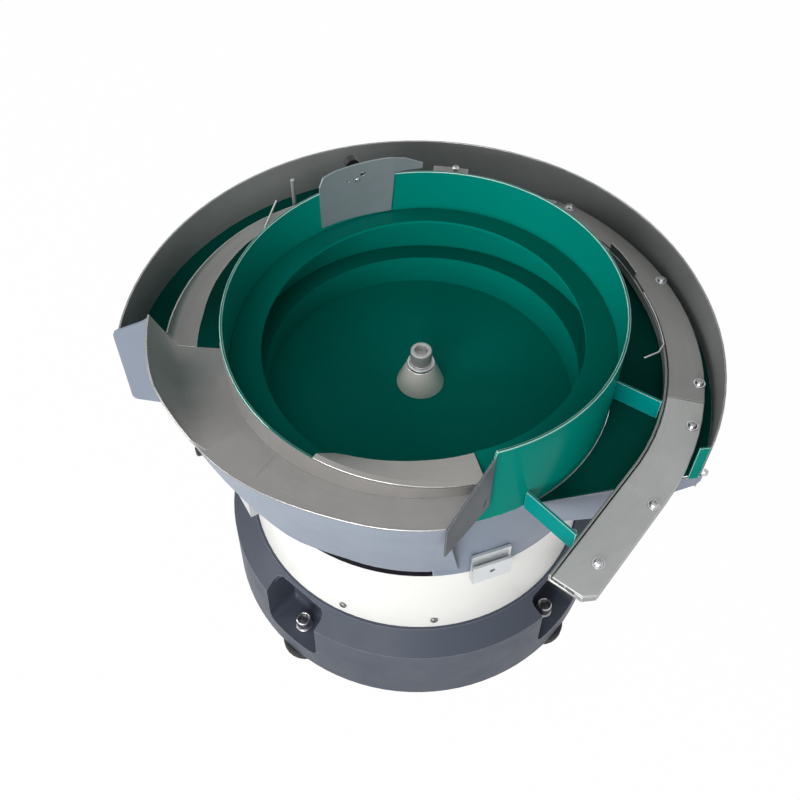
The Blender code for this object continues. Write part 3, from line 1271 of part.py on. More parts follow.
def bowl_clamps():
    half = BOWL_CLAMP_WIDTH / 2
    root = SKIRT_OUTER + CLEARANCE
    bottom = PLATE_UNDERSIDE_Z - BOWL_CLAMP_DROP
    front = PLATE_UNDERSIDE_Z + BOWL_CLAMP_FRONT_RISE
    floor = PLATE_UNDERSIDE_Z + BOWL_CLAMP_SLOT_RISE
    top = PLATE_UNDERSIDE_Z + BOWL_CLAMP_BACK_RISE
    for name, azimuth, depth in BOWL_CLAMPS:
        back = root + BOWL_CLAMP_BACK
        lip = back + BOWL_CLAMP_SLOT
        face = root + depth
        outline = [
            (root, bottom), (face, bottom), (face, front), (lip, front), (lip, floor),
            (back, floor), (back, top), (root, top),
        ]
        item = plate(f"bowl_clamp_{name}", [outline], -half, half, upright(azimuth))
        place = radial(azimuth, root, PLATE_UNDERSIDE_Z + BOWL_CLAMP_HOLE_RISE)
        hole = BOWL_CLAMP_HOLE_RADIUS
        combine(item, cylinder(f"clamp_hole_{name}", hole, -depth, depth * 2, place, HOLE_STEPS))
        finish(item, "aluminium", False)


base_casting()
feet()
drive_cover()
cable_gland()
magnet()
springs()
carrier_plate()
bowl_shell()
bowl_skirt()
spiral_track()
track_insert()
centre_fastening()
wide_tray()
tray_apron()
tray_end_plate()
narrow_track()
pan_and_wall()
end_flap()
discharge_bed()
discharge_covers()
discharge_brackets()
deflector()
rear_guides()
discharge_guides()
bowl_clamps()
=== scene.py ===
"""Looks of the vibratory bowl feeder: finishes, rounded edges, screws, weld, light, camera.

Metres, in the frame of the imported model: Z is the bowl's axis, and the front is at -Y.
Azimuths are in degrees, counter-clockwise from +X seen from above.
"""
import json
import math

import bmesh
import bpy
from mathutils import Matrix, Vector
from mathutils.bvhtree import BVHTree


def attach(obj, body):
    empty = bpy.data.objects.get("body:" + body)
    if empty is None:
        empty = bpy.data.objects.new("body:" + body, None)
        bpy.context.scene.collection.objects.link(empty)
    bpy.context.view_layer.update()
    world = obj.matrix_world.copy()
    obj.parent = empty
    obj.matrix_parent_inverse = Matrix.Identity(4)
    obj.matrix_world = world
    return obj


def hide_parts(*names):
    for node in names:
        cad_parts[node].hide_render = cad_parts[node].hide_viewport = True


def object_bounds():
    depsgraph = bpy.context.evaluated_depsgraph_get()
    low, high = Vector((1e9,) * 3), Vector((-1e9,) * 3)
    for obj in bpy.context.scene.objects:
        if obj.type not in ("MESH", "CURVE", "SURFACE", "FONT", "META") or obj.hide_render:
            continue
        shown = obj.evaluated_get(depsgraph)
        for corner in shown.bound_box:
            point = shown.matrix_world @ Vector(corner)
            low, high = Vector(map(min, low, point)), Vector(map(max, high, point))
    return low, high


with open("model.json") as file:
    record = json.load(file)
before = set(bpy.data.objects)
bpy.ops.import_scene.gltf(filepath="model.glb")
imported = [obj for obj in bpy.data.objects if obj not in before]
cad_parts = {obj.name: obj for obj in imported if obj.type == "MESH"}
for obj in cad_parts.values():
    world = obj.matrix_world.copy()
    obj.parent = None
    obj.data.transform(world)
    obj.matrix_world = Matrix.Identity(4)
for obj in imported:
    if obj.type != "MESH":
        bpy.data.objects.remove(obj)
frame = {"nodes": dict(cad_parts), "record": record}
cad_low, cad_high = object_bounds()

MM = 0.001
UP = Vector((0, 0, 1))
DOWN = Vector((0, 0, -1))
SLOT_OF = {part["node"]: part["material_slot"] for part in frame["record"]["subparts"]}
BODY_OF = {
    node: body
    for body, members in frame["record"]["behaviour"]["bodies"].items()
    for node in members
}

# Colour, roughness, depth of the peel, wear, specular level and IOR of sprayed coatings
COATED = {
    "green_coat": ((0.0, 0.225, 0.178), 0.20, 0.03, 0.04, 0.5, 1.07),
    # Painted light: a lighter copy of the green coat for the brackets, whose faces turn to
    # the lamps
    "lit_green": ((0.0, 0.27, 0.25), 0.22, 0.03, 0.04, 0.5, 1.07),
    # Painted shade: a darker copy of the green coat for the return pan, which lies in shade
    "shaded_green": ((0.0, 0.082, 0.064), 0.28, 0.03, 0.05, 0.5, 1.08),
    "skirt_grey": ((0.195, 0.232, 0.298), 0.34, 0.04, 0.05, 0.3, 1.5),
    "grey_coat": ((0.24, 0.276, 0.34), 0.42, 0.04, 0.04, 0.25, 1.5),
    # Painted shade: a darker copy of the grey coat for the tray's end plate, whose face turns
    # away from the light
    "shaded_grey": ((0.085, 0.094, 0.104), 0.42, 0.04, 0.05, 0.2, 1.5),
    "slate_coat": ((0.062, 0.073, 0.099), 0.48, 0.12, 0.08, 0.3, 1.5),
    "white_coat": ((0.85, 0.85, 0.82), 0.35, 0.03, 0.02, 0.3, 1.5),
    "black_coat": ((0.004, 0.004, 0.008), 0.6, 0.10, 0.2, 0.1, 1.3),
    # Painted highlights: pale colours for the rounded edges, standing in for the lamps'
    # glints along the rim, ledges and creases
    "green_edge": ((0.42, 0.64, 0.57), 0.22, 0.03, 0.06, 0.5, 1.5),
    "track_edge": ((0.22, 0.56, 0.49), 0.22, 0.03, 0.06, 0.5, 1.5),
    "grey_edge": ((0.62, 0.65, 0.70), 0.30, 0.03, 0.05, 0.5, 1.5),
    "slate_edge": ((0.30, 0.32, 0.37), 0.40, 0.08, 0.10, 0.4, 1.5),
}

# Colour, roughness, metallic, fineness of the lines, whether they run round the bowl's
# axis, and strength of the stains of ground metals
BRUSHED = {
    "stainless": ((0.33, 0.325, 0.318), 0.42, 0.45, 900, True, 0.08),
    # Partly painted light: lighter stainless, which the discharge track's front cover takes
    # because more light falls on it than on the rear cover; the bolt, post and rod take it
    # too
    "satin_stainless": ((0.52, 0.53, 0.52), 0.45, 0.55, 900, True, 0.08),
    "warm_stainless": ((0.43, 0.415, 0.40), 0.42, 0.7, 900, True, 0.08),
    "cool_stainless": ((0.33, 0.37, 0.40), 0.38, 0.4, 900, True, 0.08),
    "dark_stainless": ((0.31, 0.315, 0.313), 0.55, 0.15, 600, True, 0.08),
    # Partly painted sheen: the cone nut's turned steel made near-white, pale enough to stand
    # in for its bright reflections
    "turned_steel": ((0.96, 0.93, 0.86), 0.30, 0.15, 1200, True, 0.08),
    "aluminium": ((0.68, 0.70, 0.72), 0.36, 0.7, 700, False, 0.05),
    "spring_steel": ((0.16, 0.16, 0.18), 0.38, 1.0, 500, False, 0.08),
}

# Colour and roughness of plated or machined metals
PLATED = {
    "zinc": ((0.60, 0.60, 0.61), 0.30),
    "black_steel": ((0.22, 0.22, 0.225), 0.34),
    # Painted highlight: pale steel for the rounded edges of stainless and aluminium pieces
    "steel_edge": ((0.60, 0.60, 0.585), 0.28),
}

# Colour, roughness, fineness of the grain and metallic of cast, moulded or wound solids
GRAINED = {
    "rubber": ((0.014, 0.014, 0.015), 0.75, 300, 0.0),
    "cast_iron": ((0.09, 0.09, 0.10), 0.6, 220, 0.6),
    "copper": ((0.40, 0.16, 0.06), 0.45, 500, 0.7),
    "black_plastic": ((0.02, 0.02, 0.021), 0.45, 400, 0.0),
}

# Middle part of a noise, which carries nearly all of its change
NOISE_SPAN = (0.3, 0.7)

# Sprayed coatings: scales of their drift, rubbed patches, peel and grain
COAT_DRIFT = 5
COAT_RUBBED = 22
COAT_PEEL = 260
COAT_GRAIN = 420
PEEL_DEPTH = 0.3 * MM

# Ground metals: noise along the fine and the broad lines, width of the broad ones in fine
# ones, scales of stains and handling marks
ALONG_ROUND = 2.2
ALONG_FLAT = 12
ALONG_BROAD = 1.5
BROAD_LINES = 9
STAINS = 14
MARKS = 60
LINE_DEPTH = 0.1 * MM

# Plated metals and grained solids: scale of the mottle and of the drift, depths
MOTTLE = 90
MOTTLE_DEPTH = 0.15 * MM
SOLID_DRIFT = 12
GRAIN_DEPTH = 0.4 * MM


def polar(radius, azimuth, z=0.0):
    """Point at a radius and an azimuth round the bowl's axis."""
    angle = math.radians(azimuth)
    return Vector((radius * math.cos(angle), radius * math.sin(angle), z))


def azimuth_of(point):
    """Azimuth of a point."""
    return math.degrees(math.atan2(point.y, point.x))


def shade(colour, amount):
    """A colour made lighter or darker."""
    return tuple(channel * amount for channel in colour)


def feed(tree, node, inputs):
    """Give a node's inputs values, or the outputs that they follow."""
    for key, value in inputs.items():
        if isinstance(value, bpy.types.NodeSocket):
            tree.links.new(value, node.inputs[key])
        else:
            node.inputs[key].default_value = value


def add_node(tree, kind, inputs=None, **settings):
    """New shader node in a tree, with its settings and then its inputs."""
    node = tree.nodes.new(f"ShaderNode{kind}")
    for key, value in settings.items():
        setattr(node, key, value)
    feed(tree, node, inputs or {})
    return node


class Nodes:
    """Node tree of one material, from object coordinates to its shader."""

    def __init__(self, name):
        self.material = bpy.data.materials.new(name)
        self.material.use_nodes = True
        self.tree = self.material.node_tree
        self.coords = self.new("TexCoord").outputs["Object"]

    def new(self, kind, inputs=None, **settings):
        """New node of the material."""
        return add_node(self.tree, kind, inputs, **settings)

    def round_coords(self):
        """Coordinates of angle, radius and height round the bowl's axis."""
        x, y, z = self.new("SeparateXYZ", {0: self.coords}).outputs
        angle = self.new("Math", {0: y, 1: x}, operation="ARCTAN2")
        flat = self.new("CombineXYZ", {"X": x, "Y": y})
        length = self.new("VectorMath", {0: flat.outputs[0]}, operation="LENGTH")
        return self.new("CombineXYZ", {
            "X": angle.outputs[0], "Y": length.outputs["Value"], "Z": z,
        }).outputs[0]

    def stretched(self, vector, scale):
        """Coordinates stretched along their axes."""
        mapped = self.new("Mapping", {"Vector": vector, "Scale": scale})
        return mapped.outputs["Vector"]

    def noise(self, vector, scale, detail, rough=0.55):
        """Noise between 0 and 1."""
        return self.new("TexNoise", {
            "Vector": vector, "Scale": scale, "Detail": detail, "Roughness": rough,
        }).outputs["Fac"]

    def drift(self, factor, colour, dark, light):
        """Colour that follows a noise from a darker to a lighter shade of it."""
        ramp = self.new("ValToRGB", {"Fac": factor})
        shades = shade(colour, dark), shade(colour, light)
        for element, place, end in zip(ramp.color_ramp.elements, NOISE_SPAN, shades):
            element.position = place
            element.color = (*end, 1)
        return ramp.outputs["Color"]

    def span(self, factor, low, high):
        """Value that follows a noise from low to high."""
        return self.new("MapRange", {
            "Value": factor, "From Min": NOISE_SPAN[0], "From Max": NOISE_SPAN[1],
            "To Min": low, "To Max": high,
        }).outputs["Result"]

    def mix(self, factor, first, second):
        """Mix of a colour output and a plain colour."""
        inputs = {"Factor": factor, 6: first, 7: (*second, 1)}
        return self.new("Mix", inputs, data_type="RGBA").outputs[2]

    def finish(self, colour, roughness, height, strength, depth, **values):
        """Material with its shader fed: colour, roughness, bump and plain values."""
        bump = self.new("Bump", {
            "Height": height, "Strength": strength, "Distance": depth,
        })
        inputs = {
            "Base Color": colour, "Roughness": roughness, "Normal": bump.outputs["Normal"],
        }
        inputs.update((key.replace("_", " "), value) for key, value in values.items())
        feed(self.tree, self.tree.nodes["Principled BSDF"], inputs)
        return self.material


def coated(name, colour, rough, peel, wear, level, ior):
    """Sprayed coating: slow colour drift, fine orange peel, patches rubbed dull."""
    tree = Nodes(name)
    slow = tree.drift(tree.noise(tree.coords, COAT_DRIFT, 3), colour, 1 - wear, 1 + wear)
    grain = tree.noise(tree.coords, COAT_GRAIN, 2)
    mixed = tree.mix(tree.span(grain, 0.0, 0.08), slow, shade(colour, 1.3))
    rubbed = tree.noise(tree.coords, COAT_RUBBED, 6, 0.65)
    roughness = tree.span(rubbed, rough * 0.85, rough * 1.2)
    height = tree.noise(tree.coords, COAT_PEEL, 2)
    return tree.finish(
        mixed, roughness, height, peel, PEEL_DEPTH, Specular_IOR_Level=level, IOR=ior
    )


def brushed(name, colour, rough, metallic, lines, round_lines, stain):
    """Ground sheet steel: fine parallel lines, rolled colour and handling marks."""
    tree = Nodes(name)
    coords = tree.round_coords() if round_lines else tree.coords
    along = ALONG_ROUND if round_lines else ALONG_FLAT
    across = lines / BROAD_LINES
    hair = tree.noise(tree.stretched(coords, (along, lines, lines)), 1, 5, 0.7)
    broad = tree.noise(tree.stretched(coords, (ALONG_BROAD, across, across)), 1, 3)
    stains = tree.noise(tree.coords, STAINS, 5, 0.6)
    base = tree.drift(stains, colour, 1 - stain, 1 + stain)
    lined = tree.mix(tree.span(hair, 0.0, 0.22), base, shade(colour, 0.72))
    banded = tree.mix(tree.span(broad, 0.0, 0.14), lined, shade(colour, 1.25))
    marks = tree.noise(tree.coords, MARKS, 6, 0.7)
    roughness = tree.new("Math", {
        0: tree.span(hair, rough * 0.85, rough * 1.15), 1: tree.span(marks, -0.03, 0.05),
    }, operation="ADD").outputs[0]
    return tree.finish(
        banded, roughness, hair, 0.10, LINE_DEPTH, Metallic=metallic, Anisotropic=0.35
    )


def plated(name, colour, rough):
    """Plated or machined small parts with a mottled surface."""
    tree = Nodes(name)
    mottle = tree.noise(tree.coords, MOTTLE, 5, 0.6)
    base = tree.drift(mottle, colour, 0.8, 1.15)
    fine = tree.noise(tree.coords, MOTTLE * 4, 3)
    roughness = tree.span(fine, rough * 0.8, rough * 1.3)
    return tree.finish(base, roughness, mottle, 0.08, MOTTLE_DEPTH, Metallic=1.0)


def grained(name, colour, rough, scale, metallic):
    """Cast, moulded or wound surface with a visible grain."""
    tree = Nodes(name)
    grain = tree.noise(tree.coords, scale, 6, 0.65)
    base = tree.drift(tree.noise(tree.coords, SOLID_DRIFT, 3), colour, 0.75, 1.3)
    speck = tree.mix(tree.span(grain, 0, 0.25), base, shade(colour, 1.8))
    roughness = tree.span(grain, rough * 0.85, min(rough * 1.15, 1))
    return tree.finish(speck, roughness, grain, 0.3, GRAIN_DEPTH, Metallic=metallic)


# One material for each slot of the record, and the few that differ within a slot
FINISHES = {
    name: make(name, *values)
    for make, table in (
        (coated, COATED), (brushed, BRUSHED), (plated, PLATED), (grained, GRAINED),
    )
    for name, values in table.items()
}

# Finish of the nodes that differ from the rest of their slot, among them painted light on the
# brackets and the discharge track's front cover, painted shade on the return pan and painted
# sheen on the cone nut
LOOKS = {
    "return_pan": "shaded_green", "front_bracket": "lit_green", "right_bracket": "lit_green",
    "bowl_skirt": "skirt_grey", "top_plate": "black_coat", "track_insert": "warm_stainless",
    "deflector_plate": "cool_stainless", "deflector_bracket": "cool_stainless",
    "discharge_cover_front": "satin_stainless", "guide_post": "satin_stainless",
    "guide_rod": "satin_stainless", "centre_bolt": "satin_stainless",
    "cone_nut": "turned_steel", "spring_washer": "zinc", "cover_screw_1": "black_steel",
    "cover_screw_2": "black_steel", "cover_screw_3": "black_steel",
    "cover_screw_4": "black_steel",
}

# Painted highlight for the rounded edges of the pieces in a slot, and of nodes that differ
EDGE_HIGHLIGHTS = {
    "green_coat": "green_edge", "grey_coat": "grey_edge", "slate_coat": "slate_edge",
    "stainless": "steel_edge", "dark_stainless": "steel_edge", "aluminium": "steel_edge",
}
NODE_EDGE_HIGHLIGHTS = {
    "spiral_track": "track_edge", "return_pan": None, "tray_apron": None,
    "discharge_cover_rear": None, "discharge_cover_front": None,
}

# Width of the rounded edge on each node, where it isn't the usual one, and on the pieces
# made here; the plates' thickness is in mm
EDGE = 0.45 * MM
EDGES = {
    "base_casting": 0.9 * MM, "bowl_clamp_front": 0.8 * MM, "bowl_clamp_left": 0.8 * MM,
    "bowl_clamp_rear": 0.8 * MM, "drive_cover": 0.6 * MM, "bowl_shell": 0.8 * MM,
    "spiral_track": 0.6 * MM, "thumb_screw": 0.8 * MM, "top_plate": 1.0 * MM,
    "discharge_cover_front": 0.8 * MM, "discharge_cover_rear": 0.5 * MM,
    "deflector_plate": 0.9 * MM,
}
PLATE_EDGE = 0.35 * MM
PLATE_THICKNESS = 2
WASHER_EDGE = 0.25 * MM
STUD_EDGE = 0.5 * MM

# Angles from which an edge is sharp; the base's crease is blunter
SHARP = math.radians(38)
BASE_SHARP = math.radians(8)

# How far below the top the bowl's rim reaches: of the bowl, only the rim's edges are round
RIM_HEIGHT = 52 * MM

# Socket-head screws: radius and floor of the socket, how it narrows, and its hexagon's
# flats, as shares; outline of the head as shares of its radius and height; gap below it
SOCKET_RADIUS = 0.52
SOCKET_FLOOR = 0.45
SOCKET_TAPER = 0.9
SOCKET_FLATS = 0.92
SCREW_HEAD = ((0.62, 1), (0.9, 0.66), (1, 0.25))
SCREW_GAP = 0.1 * MM

# Corners closer than this are one, and faces flatter than this are joined
SAME_PLACE = 0.002 * MM
SAME_FACE = math.radians(0.5)


def mesh_piece(name, shape, body, slot, look=None):
    """Piece made from a bmesh, riding on a body, in the finish of a slot or a look in it."""
    bmesh.ops.recalc_face_normals(shape, faces=shape.faces)
    mesh = bpy.data.meshes.new(name)
    shape.to_mesh(mesh)
    shape.free()
    mesh.shade_smooth()
    mesh.set_sharp_from_angle(angle=SHARP)
    piece = bpy.data.objects.new(name, mesh)
    bpy.context.scene.collection.objects.link(piece)
    mesh.materials.append(FINISHES[look or slot])
    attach(piece, body)
    return piece


def soften(piece, width, highlight_look=None, sharp=SHARP, reach=math.inf):
    """Round a piece's sharp outer edges as far down from its top as reach goes, the rounded
    faces in a painted highlight if one is given.
    """
    shape = bmesh.new()
    shape.from_mesh(piece.data)
    low = max(vertex.co.z for vertex in shape.verts) - reach
    weights = shape.edges.layers.float.new("bevel_weight_edge")
    for edge in shape.edges:
        if len(edge.link_faces) != 2 or edge.verts[0].co.z < low:
            continue
        if edge.calc_face_angle_signed() > sharp:
            edge[weights] = 1
    shape.to_mesh(piece.data)
    shape.free()
    bevel = piece.modifiers.new("edges", "BEVEL")
    bevel.width = width
    bevel.segments = 2
    bevel.limit_method = "WEIGHT"
    bevel.miter_outer = "MITER_ARC"
    # The rounded faces take the painted highlight's finish
    if highlight_look:
        piece.data.materials.append(FINISHES[highlight_look])
        bevel.material = len(piece.data.materials) - 1
    flat = piece.modifiers.new("flat", "WEIGHTED_NORMAL")
    flat.keep_sharp = True


def dress(node):
    """Stand-in for a CAD node with the same shape, rounded edges and smooth faces."""
    shape = bmesh.new()
    shape.from_mesh(frame["nodes"][node].data)
    bmesh.ops.remove_doubles(shape, verts=shape.verts, dist=SAME_PLACE)
    bmesh.ops.dissolve_limit(
        shape, angle_limit=SAME_FACE, verts=shape.verts, edges=shape.edges
    )
    slot = SLOT_OF[node]
    piece = mesh_piece(f"{node}_dressed", shape, BODY_OF[node], slot, LOOKS.get(node))
    # Rounded edges in the slot's painted highlight
    soften(
        piece, EDGES.get(node, EDGE), NODE_EDGE_HIGHLIGHTS.get(node, EDGE_HIGHLIGHTS.get(slot)),
        BASE_SHARP if node == "base_casting" else SHARP,
        RIM_HEIGHT if node == "bowl_shell" else math.inf,
    )
    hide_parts(node)
    return piece


def sweep(shape, rings):
    """Faces between rings of corners, and a cap on both ends."""
    count = len(rings[0])
    for first, second in zip(rings, rings[1:]):
        for corner in range(count):
            after = (corner + 1) % count
            shape.faces.new((first[corner], first[after], second[after], second[corner]))
    shape.faces.new(rings[0][::-1])
    shape.faces.new(rings[-1])


def lathe(profile, count=24):
    """Closed bmesh of a (radius, z) profile turned round Z, from the axis to the axis."""
    shape = bmesh.new()
    rings = []
    for radius, z in profile:
        places = [polar(radius, 360 * index / count, z) for index in range(count)]
        rings.append([shape.verts.new(place) for place in (places if radius else places[:1])])
    for first, second in zip(rings, rings[1:]):
        for index in range(count):
            after = (index + 1) % count
            corners = [first[index % len(first)], first[after % len(first)],
                       second[after % len(second)], second[index % len(second)]]
            shape.faces.new(list(dict.fromkeys(corners)))
    return shape


def turned(name, profile, place, body, slot, look=None, count=24):
    """Piece turned from a profile in mm, its axis on a place's Z."""
    shape = lathe([(radius * MM, z * MM) for radius, z in profile], count)
    bmesh.ops.transform(shape, matrix=place, verts=shape.verts)
    return mesh_piece(name, shape, body, slot, look)


def socket_screw(name, place, radius, height):
    """Button-head screw on the bowl with a hexagon socket, its seat at the place's origin."""
    socket = radius * SOCKET_RADIUS
    floor = height * SOCKET_FLOOR
    shape = lathe([
        (0, floor), (socket * SOCKET_TAPER, floor), (socket, height),
        *((radius * out, height * up) for out, up in SCREW_HEAD),
        (radius, SCREW_GAP), (0, SCREW_GAP),
    ])
    for vertex in shape.verts:
        if 0 < vertex.co.xy.length < socket + SAME_PLACE:
            angle = math.atan2(vertex.co.y, vertex.co.x)
            off = (angle % (math.pi / 3)) - math.pi / 6
            vertex.co.xy *= SOCKET_FLATS / math.cos(off)
    bmesh.ops.transform(shape, matrix=place, verts=shape.verts)
    mesh_piece(name, shape, "bowl", "zinc")


def outward(azimuth, radius, z):
    """Place on the circle of a radius, its Z away from the bowl's axis."""
    out = polar(1, azimuth)
    matrix = Matrix((UP.cross(out), UP, out)).transposed()
    return Matrix.Translation(polar(radius, azimuth, z)) @ matrix.to_4x4()


def seat_on(node, start, direction):
    """Place on a node's surface, its Z out of it, where a line from start meets it."""
    shape = bmesh.new()
    shape.from_mesh(frame["nodes"][node].data)
    point, normal, _, _ = BVHTree.FromBMesh(shape).ray_cast(start, direction)
    shape.free()
    if normal.dot(direction) > 0:
        normal.negate()
    return Matrix.Translation(point) @ normal.to_track_quat("Z", "Y").to_matrix().to_4x4()


def upright(start, end):
    """Place at the first of two points in plan: X to the second, Y up, Z to the right."""
    along = Vector((end[0] - start[0], end[1] - start[1], 0)).normalized()
    turn = Matrix((along, UP, along.cross(UP))).transposed().to_4x4()
    return Matrix.Translation(Vector((start[0], start[1], 0)) * MM) @ turn


def rounded(points, radius, steps=4):
    """Outline with each corner rounded off by about a radius."""
    outline = []
    for index, corner in enumerate(points):
        here = Vector(corner)
        before = Vector(points[index - 1]) - here
        after = Vector(points[(index + 1) % len(points)]) - here
        first = here + before.normalized() * min(radius, before.length / 2)
        last = here + after.normalized() * min(radius, after.length / 2)
        for step in range(steps + 1):
            share = step / steps
            outline.append(first.lerp(here, share).lerp(here.lerp(last, share), share))
    return outline


def plate(name, outline, place, slot, look=None, hole=None):
    """Plate on the bowl, from an outline in mm in a place's XY plane.

    A hole has as many corners as the outline, each next to the outline's own.
    """
    shape = bmesh.new()
    layers = []
    for z in (0, PLATE_THICKNESS):
        loops = [outline] if hole is None else [outline, hole]
        layers.append([
            [shape.verts.new(place @ (Vector((x, y, z)) * MM)) for x, y in loop]
            for loop in loops
        ])
    count = len(outline)
    for index in range(count):
        after = (index + 1) % count
        for low, high in zip(*layers):
            shape.faces.new((low[index], low[after], high[after], high[index]))
        if hole is not None:
            for outer, inner in layers:
                shape.faces.new((outer[index], outer[after], inner[after], inner[index]))
    if hole is None:
        for loops in layers:
            shape.faces.new(loops[0])
    piece = mesh_piece(name, shape, "bowl", slot, look)
    # Rounded edges in the slot's painted highlight
    soften(piece, PLATE_EDGE, EDGE_HIGHLIGHTS.get(slot))
    return piece


def height_round(node, low, high):
    """Top height of a node at an azimuth, from its corners between two radii in mm."""
    tops = {}
    for vertex in frame["nodes"][node].data.vertices:
        if low * MM < vertex.co.xy.length < high * MM:
            azimuth = round(azimuth_of(vertex.co), 1)
            tops[azimuth] = max(tops.get(azimuth, -1), vertex.co.z)
    stations = sorted(tops)

    def height(azimuth):
        for first, second in zip(stations, stations[1:]):
            if first <= azimuth <= second:
                share = (azimuth - first) / (second - first)
                return tops[first] * (1 - share) + tops[second] * share
        return tops[stations[0]] if azimuth < stations[0] else tops[stations[-1]]

    return height


# Nodes whose stand-ins are shaped here, and not copied from the solid
RESHAPED = (
    "tray_end_plate", "end_flap", "pan_end_plate", "foot_stud_1", "foot_stud_2",
    "foot_stud_3", "foot_stud_4",
)

# Azimuths between which the skirt's lower edge steps up, where the raised part ends, how
# far up it goes, how far above its lowest corner and past the step the edge is found, and
# how near to a cut a corner counts as on it
SKIRT_STEP = (-84.9, -84.5)
SKIRT_LIFT_FROM = -150
SKIRT_LIFT = 20 * MM
SKIRT_EDGE = 1 * MM
SKIRT_PLAY = 0.1
ON_CUT = 1e-7

# Rise of the apron's lower edge: at its right end and for each degree further round, how
# far out it leans as it rises, and the most it rises as a share of the apron's height
APRON_LIFT = 7.2 * MM
APRON_LIFT_FROM = -85
APRON_LIFT_RATE = 0.127 * MM
APRON_LEAN = 0.232
APRON_MOST = 0.6

# Right end of the wall: radius and azimuth past which it comes in, how far it does, and
# the azimuths up to which it does so fully and from which not at all
WALL_RADIUS = 310 * MM
WALL_AZIMUTH = -60
WALL_IN = 4.5 * MM
WALL_IN_FULLY = 15
WALL_IN_NOT = 60

# How much higher the clamps' lower ends sit in the photograph, and how far up they reach
CLAMP_LIFT = 7 * MM
CLAMP_LOW = 17 * MM

# How much wider the feet and the guide's post are, and where the thumb screw goes
PAD_WIDER = 1.16
POST_WIDER = 1.7
THUMB_SCREW_SHIFT = Vector((-5, 0, -5)) * MM


def lift_skirt(piece):
    """Raise the skirt's lower edge where the apron hides it, so the carrier plate shows."""
    shape = bmesh.new()
    shape.from_mesh(piece.data)
    for azimuth in SKIRT_STEP:
        bmesh.ops.bisect_plane(
            shape, geom=shape.verts[:] + shape.edges[:] + shape.faces[:], dist=ON_CUT,
            plane_co=(0, 0, 0), plane_no=polar(1, azimuth + 90),
        )
    bottom = min(vertex.co.z for vertex in shape.verts)
    for vertex in shape.verts:
        raised = SKIRT_LIFT_FROM < azimuth_of(vertex.co) < SKIRT_STEP[0] + SKIRT_PLAY
        if raised and vertex.co.z < bottom + SKIRT_EDGE:
            vertex.co.z = bottom + SKIRT_LIFT
    shape.to_mesh(piece.data)
    shape.free()


def lift_apron(piece):
    """Raise the apron's lower edge to where the photograph has it."""
    stations = {}
    for vertex in piece.data.vertices:
        stations.setdefault(round(azimuth_of(vertex.co)), []).append(vertex)
    for azimuth, vertices in stations.items():
        heights = [vertex.co.z for vertex in vertices]
        middle = (min(heights) + max(heights)) / 2
        rise = APRON_LIFT + max(APRON_LIFT_FROM - azimuth, 0) * APRON_LIFT_RATE
        rise = min(rise, (max(heights) - min(heights)) * APRON_MOST)
        for vertex in vertices:
            if vertex.co.z < middle:
                vertex.co.z += rise
                vertex.co.xy *= 1 + rise * APRON_LEAN / vertex.co.xy.length


def draw_in(piece):
    """Bring the right end of the tall wall in to where the photograph has it."""
    for vertex in piece.data.vertices:
        reach = vertex.co.xy.length
        azimuth = azimuth_of(vertex.co)
        share = min(max((WALL_IN_NOT - azimuth) / (WALL_IN_NOT - WALL_IN_FULLY), 0), 1)
        if reach > WALL_RADIUS and azimuth > WALL_AZIMUTH:
            vertex.co.xy *= 1 - WALL_IN * share / reach


def widen(piece, across):
    """Widen an upright piece about its middle."""
    points = [vertex.co for vertex in piece.data.vertices]
    middle = sum(points, Vector()) / len(points)
    for point in points:
        point.xy = middle.xy + (point.xy - middle.xy) * across


def lift_clamp(piece):
    """Raise the lower end of a clamp."""
    floor = min(vertex.co.z for vertex in piece.data.vertices)
    for vertex in piece.data.vertices:
        if vertex.co.z < floor + CLAMP_LOW:
            vertex.co.z += CLAMP_LIFT


def dress_nodes():
    """Stand-ins for the nodes, brought to the photograph where it differs from them."""
    dressed = {node: dress(node) for node in frame["nodes"] if node not in RESHAPED}
    lift_skirt(dressed["bowl_skirt"])
    lift_apron(dressed["tray_apron"])
    draw_in(dressed["outer_wall"])
    draw_in(dressed["return_pan"])
    widen(dressed["guide_post"], POST_WIDER)
    for number in range(1, 5):
        widen(dressed[f"foot_pad_{number}"], PAD_WIDER)
    for place in ("front", "left", "rear"):
        lift_clamp(dressed[f"bowl_clamp_{place}"])
    for vertex in dressed["thumb_screw"].data.vertices:
        vertex.co += THUMB_SCREW_SHIFT


def flat_plates():
    """Plates with rounded corners or slots that stand in for plain solids."""
    # The tray's end plate takes the grey coat's darker copy, painted shade for a face turned
    # from the light
    end_plate = plate(
        "tray_end_plate_slotted", [(0, 356), (58.8, 383), (58.8, 461), (0, 404)],
        upright((27, -245.8), (67.8, -203.4)), "grey_coat", "shaded_grey",
        [(49.6, 389), (52.6, 391), (55, 402), (52, 400)],
    )
    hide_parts("tray_end_plate")
    flap = plate(
        "end_flap_rounded",
        rounded([(0, 288), (43.2, 280), (43.2, 426.5), (37.2, 420.5), (0, 402)], 7),
        upright((-330, -14), (-286.8, -14)), "grey_coat",
    )
    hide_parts("end_flap")
    flange = plate(
        "pan_end_plate_angled", [
            (0, 345.7), (0, 314), (28, 301), (88, 292), (118, 314), (160, 326.7),
            (167, 329), (171.8, 336), (171.8, 345.7),
        ],
        upright((124.9, -173.3), (292.2, -134)), "grey_coat",
    )
    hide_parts("pan_end_plate")
    plate(
        "pan_end_tab", [(0, 347), (0, 400), (10.8, 400), (10.8, 347)],
        upright((275.4, -139.8), (286, -138)), "green_coat",
    )


# Height that is clear of the whole part, from which a line goes down to a piece
ABOVE = 0.6

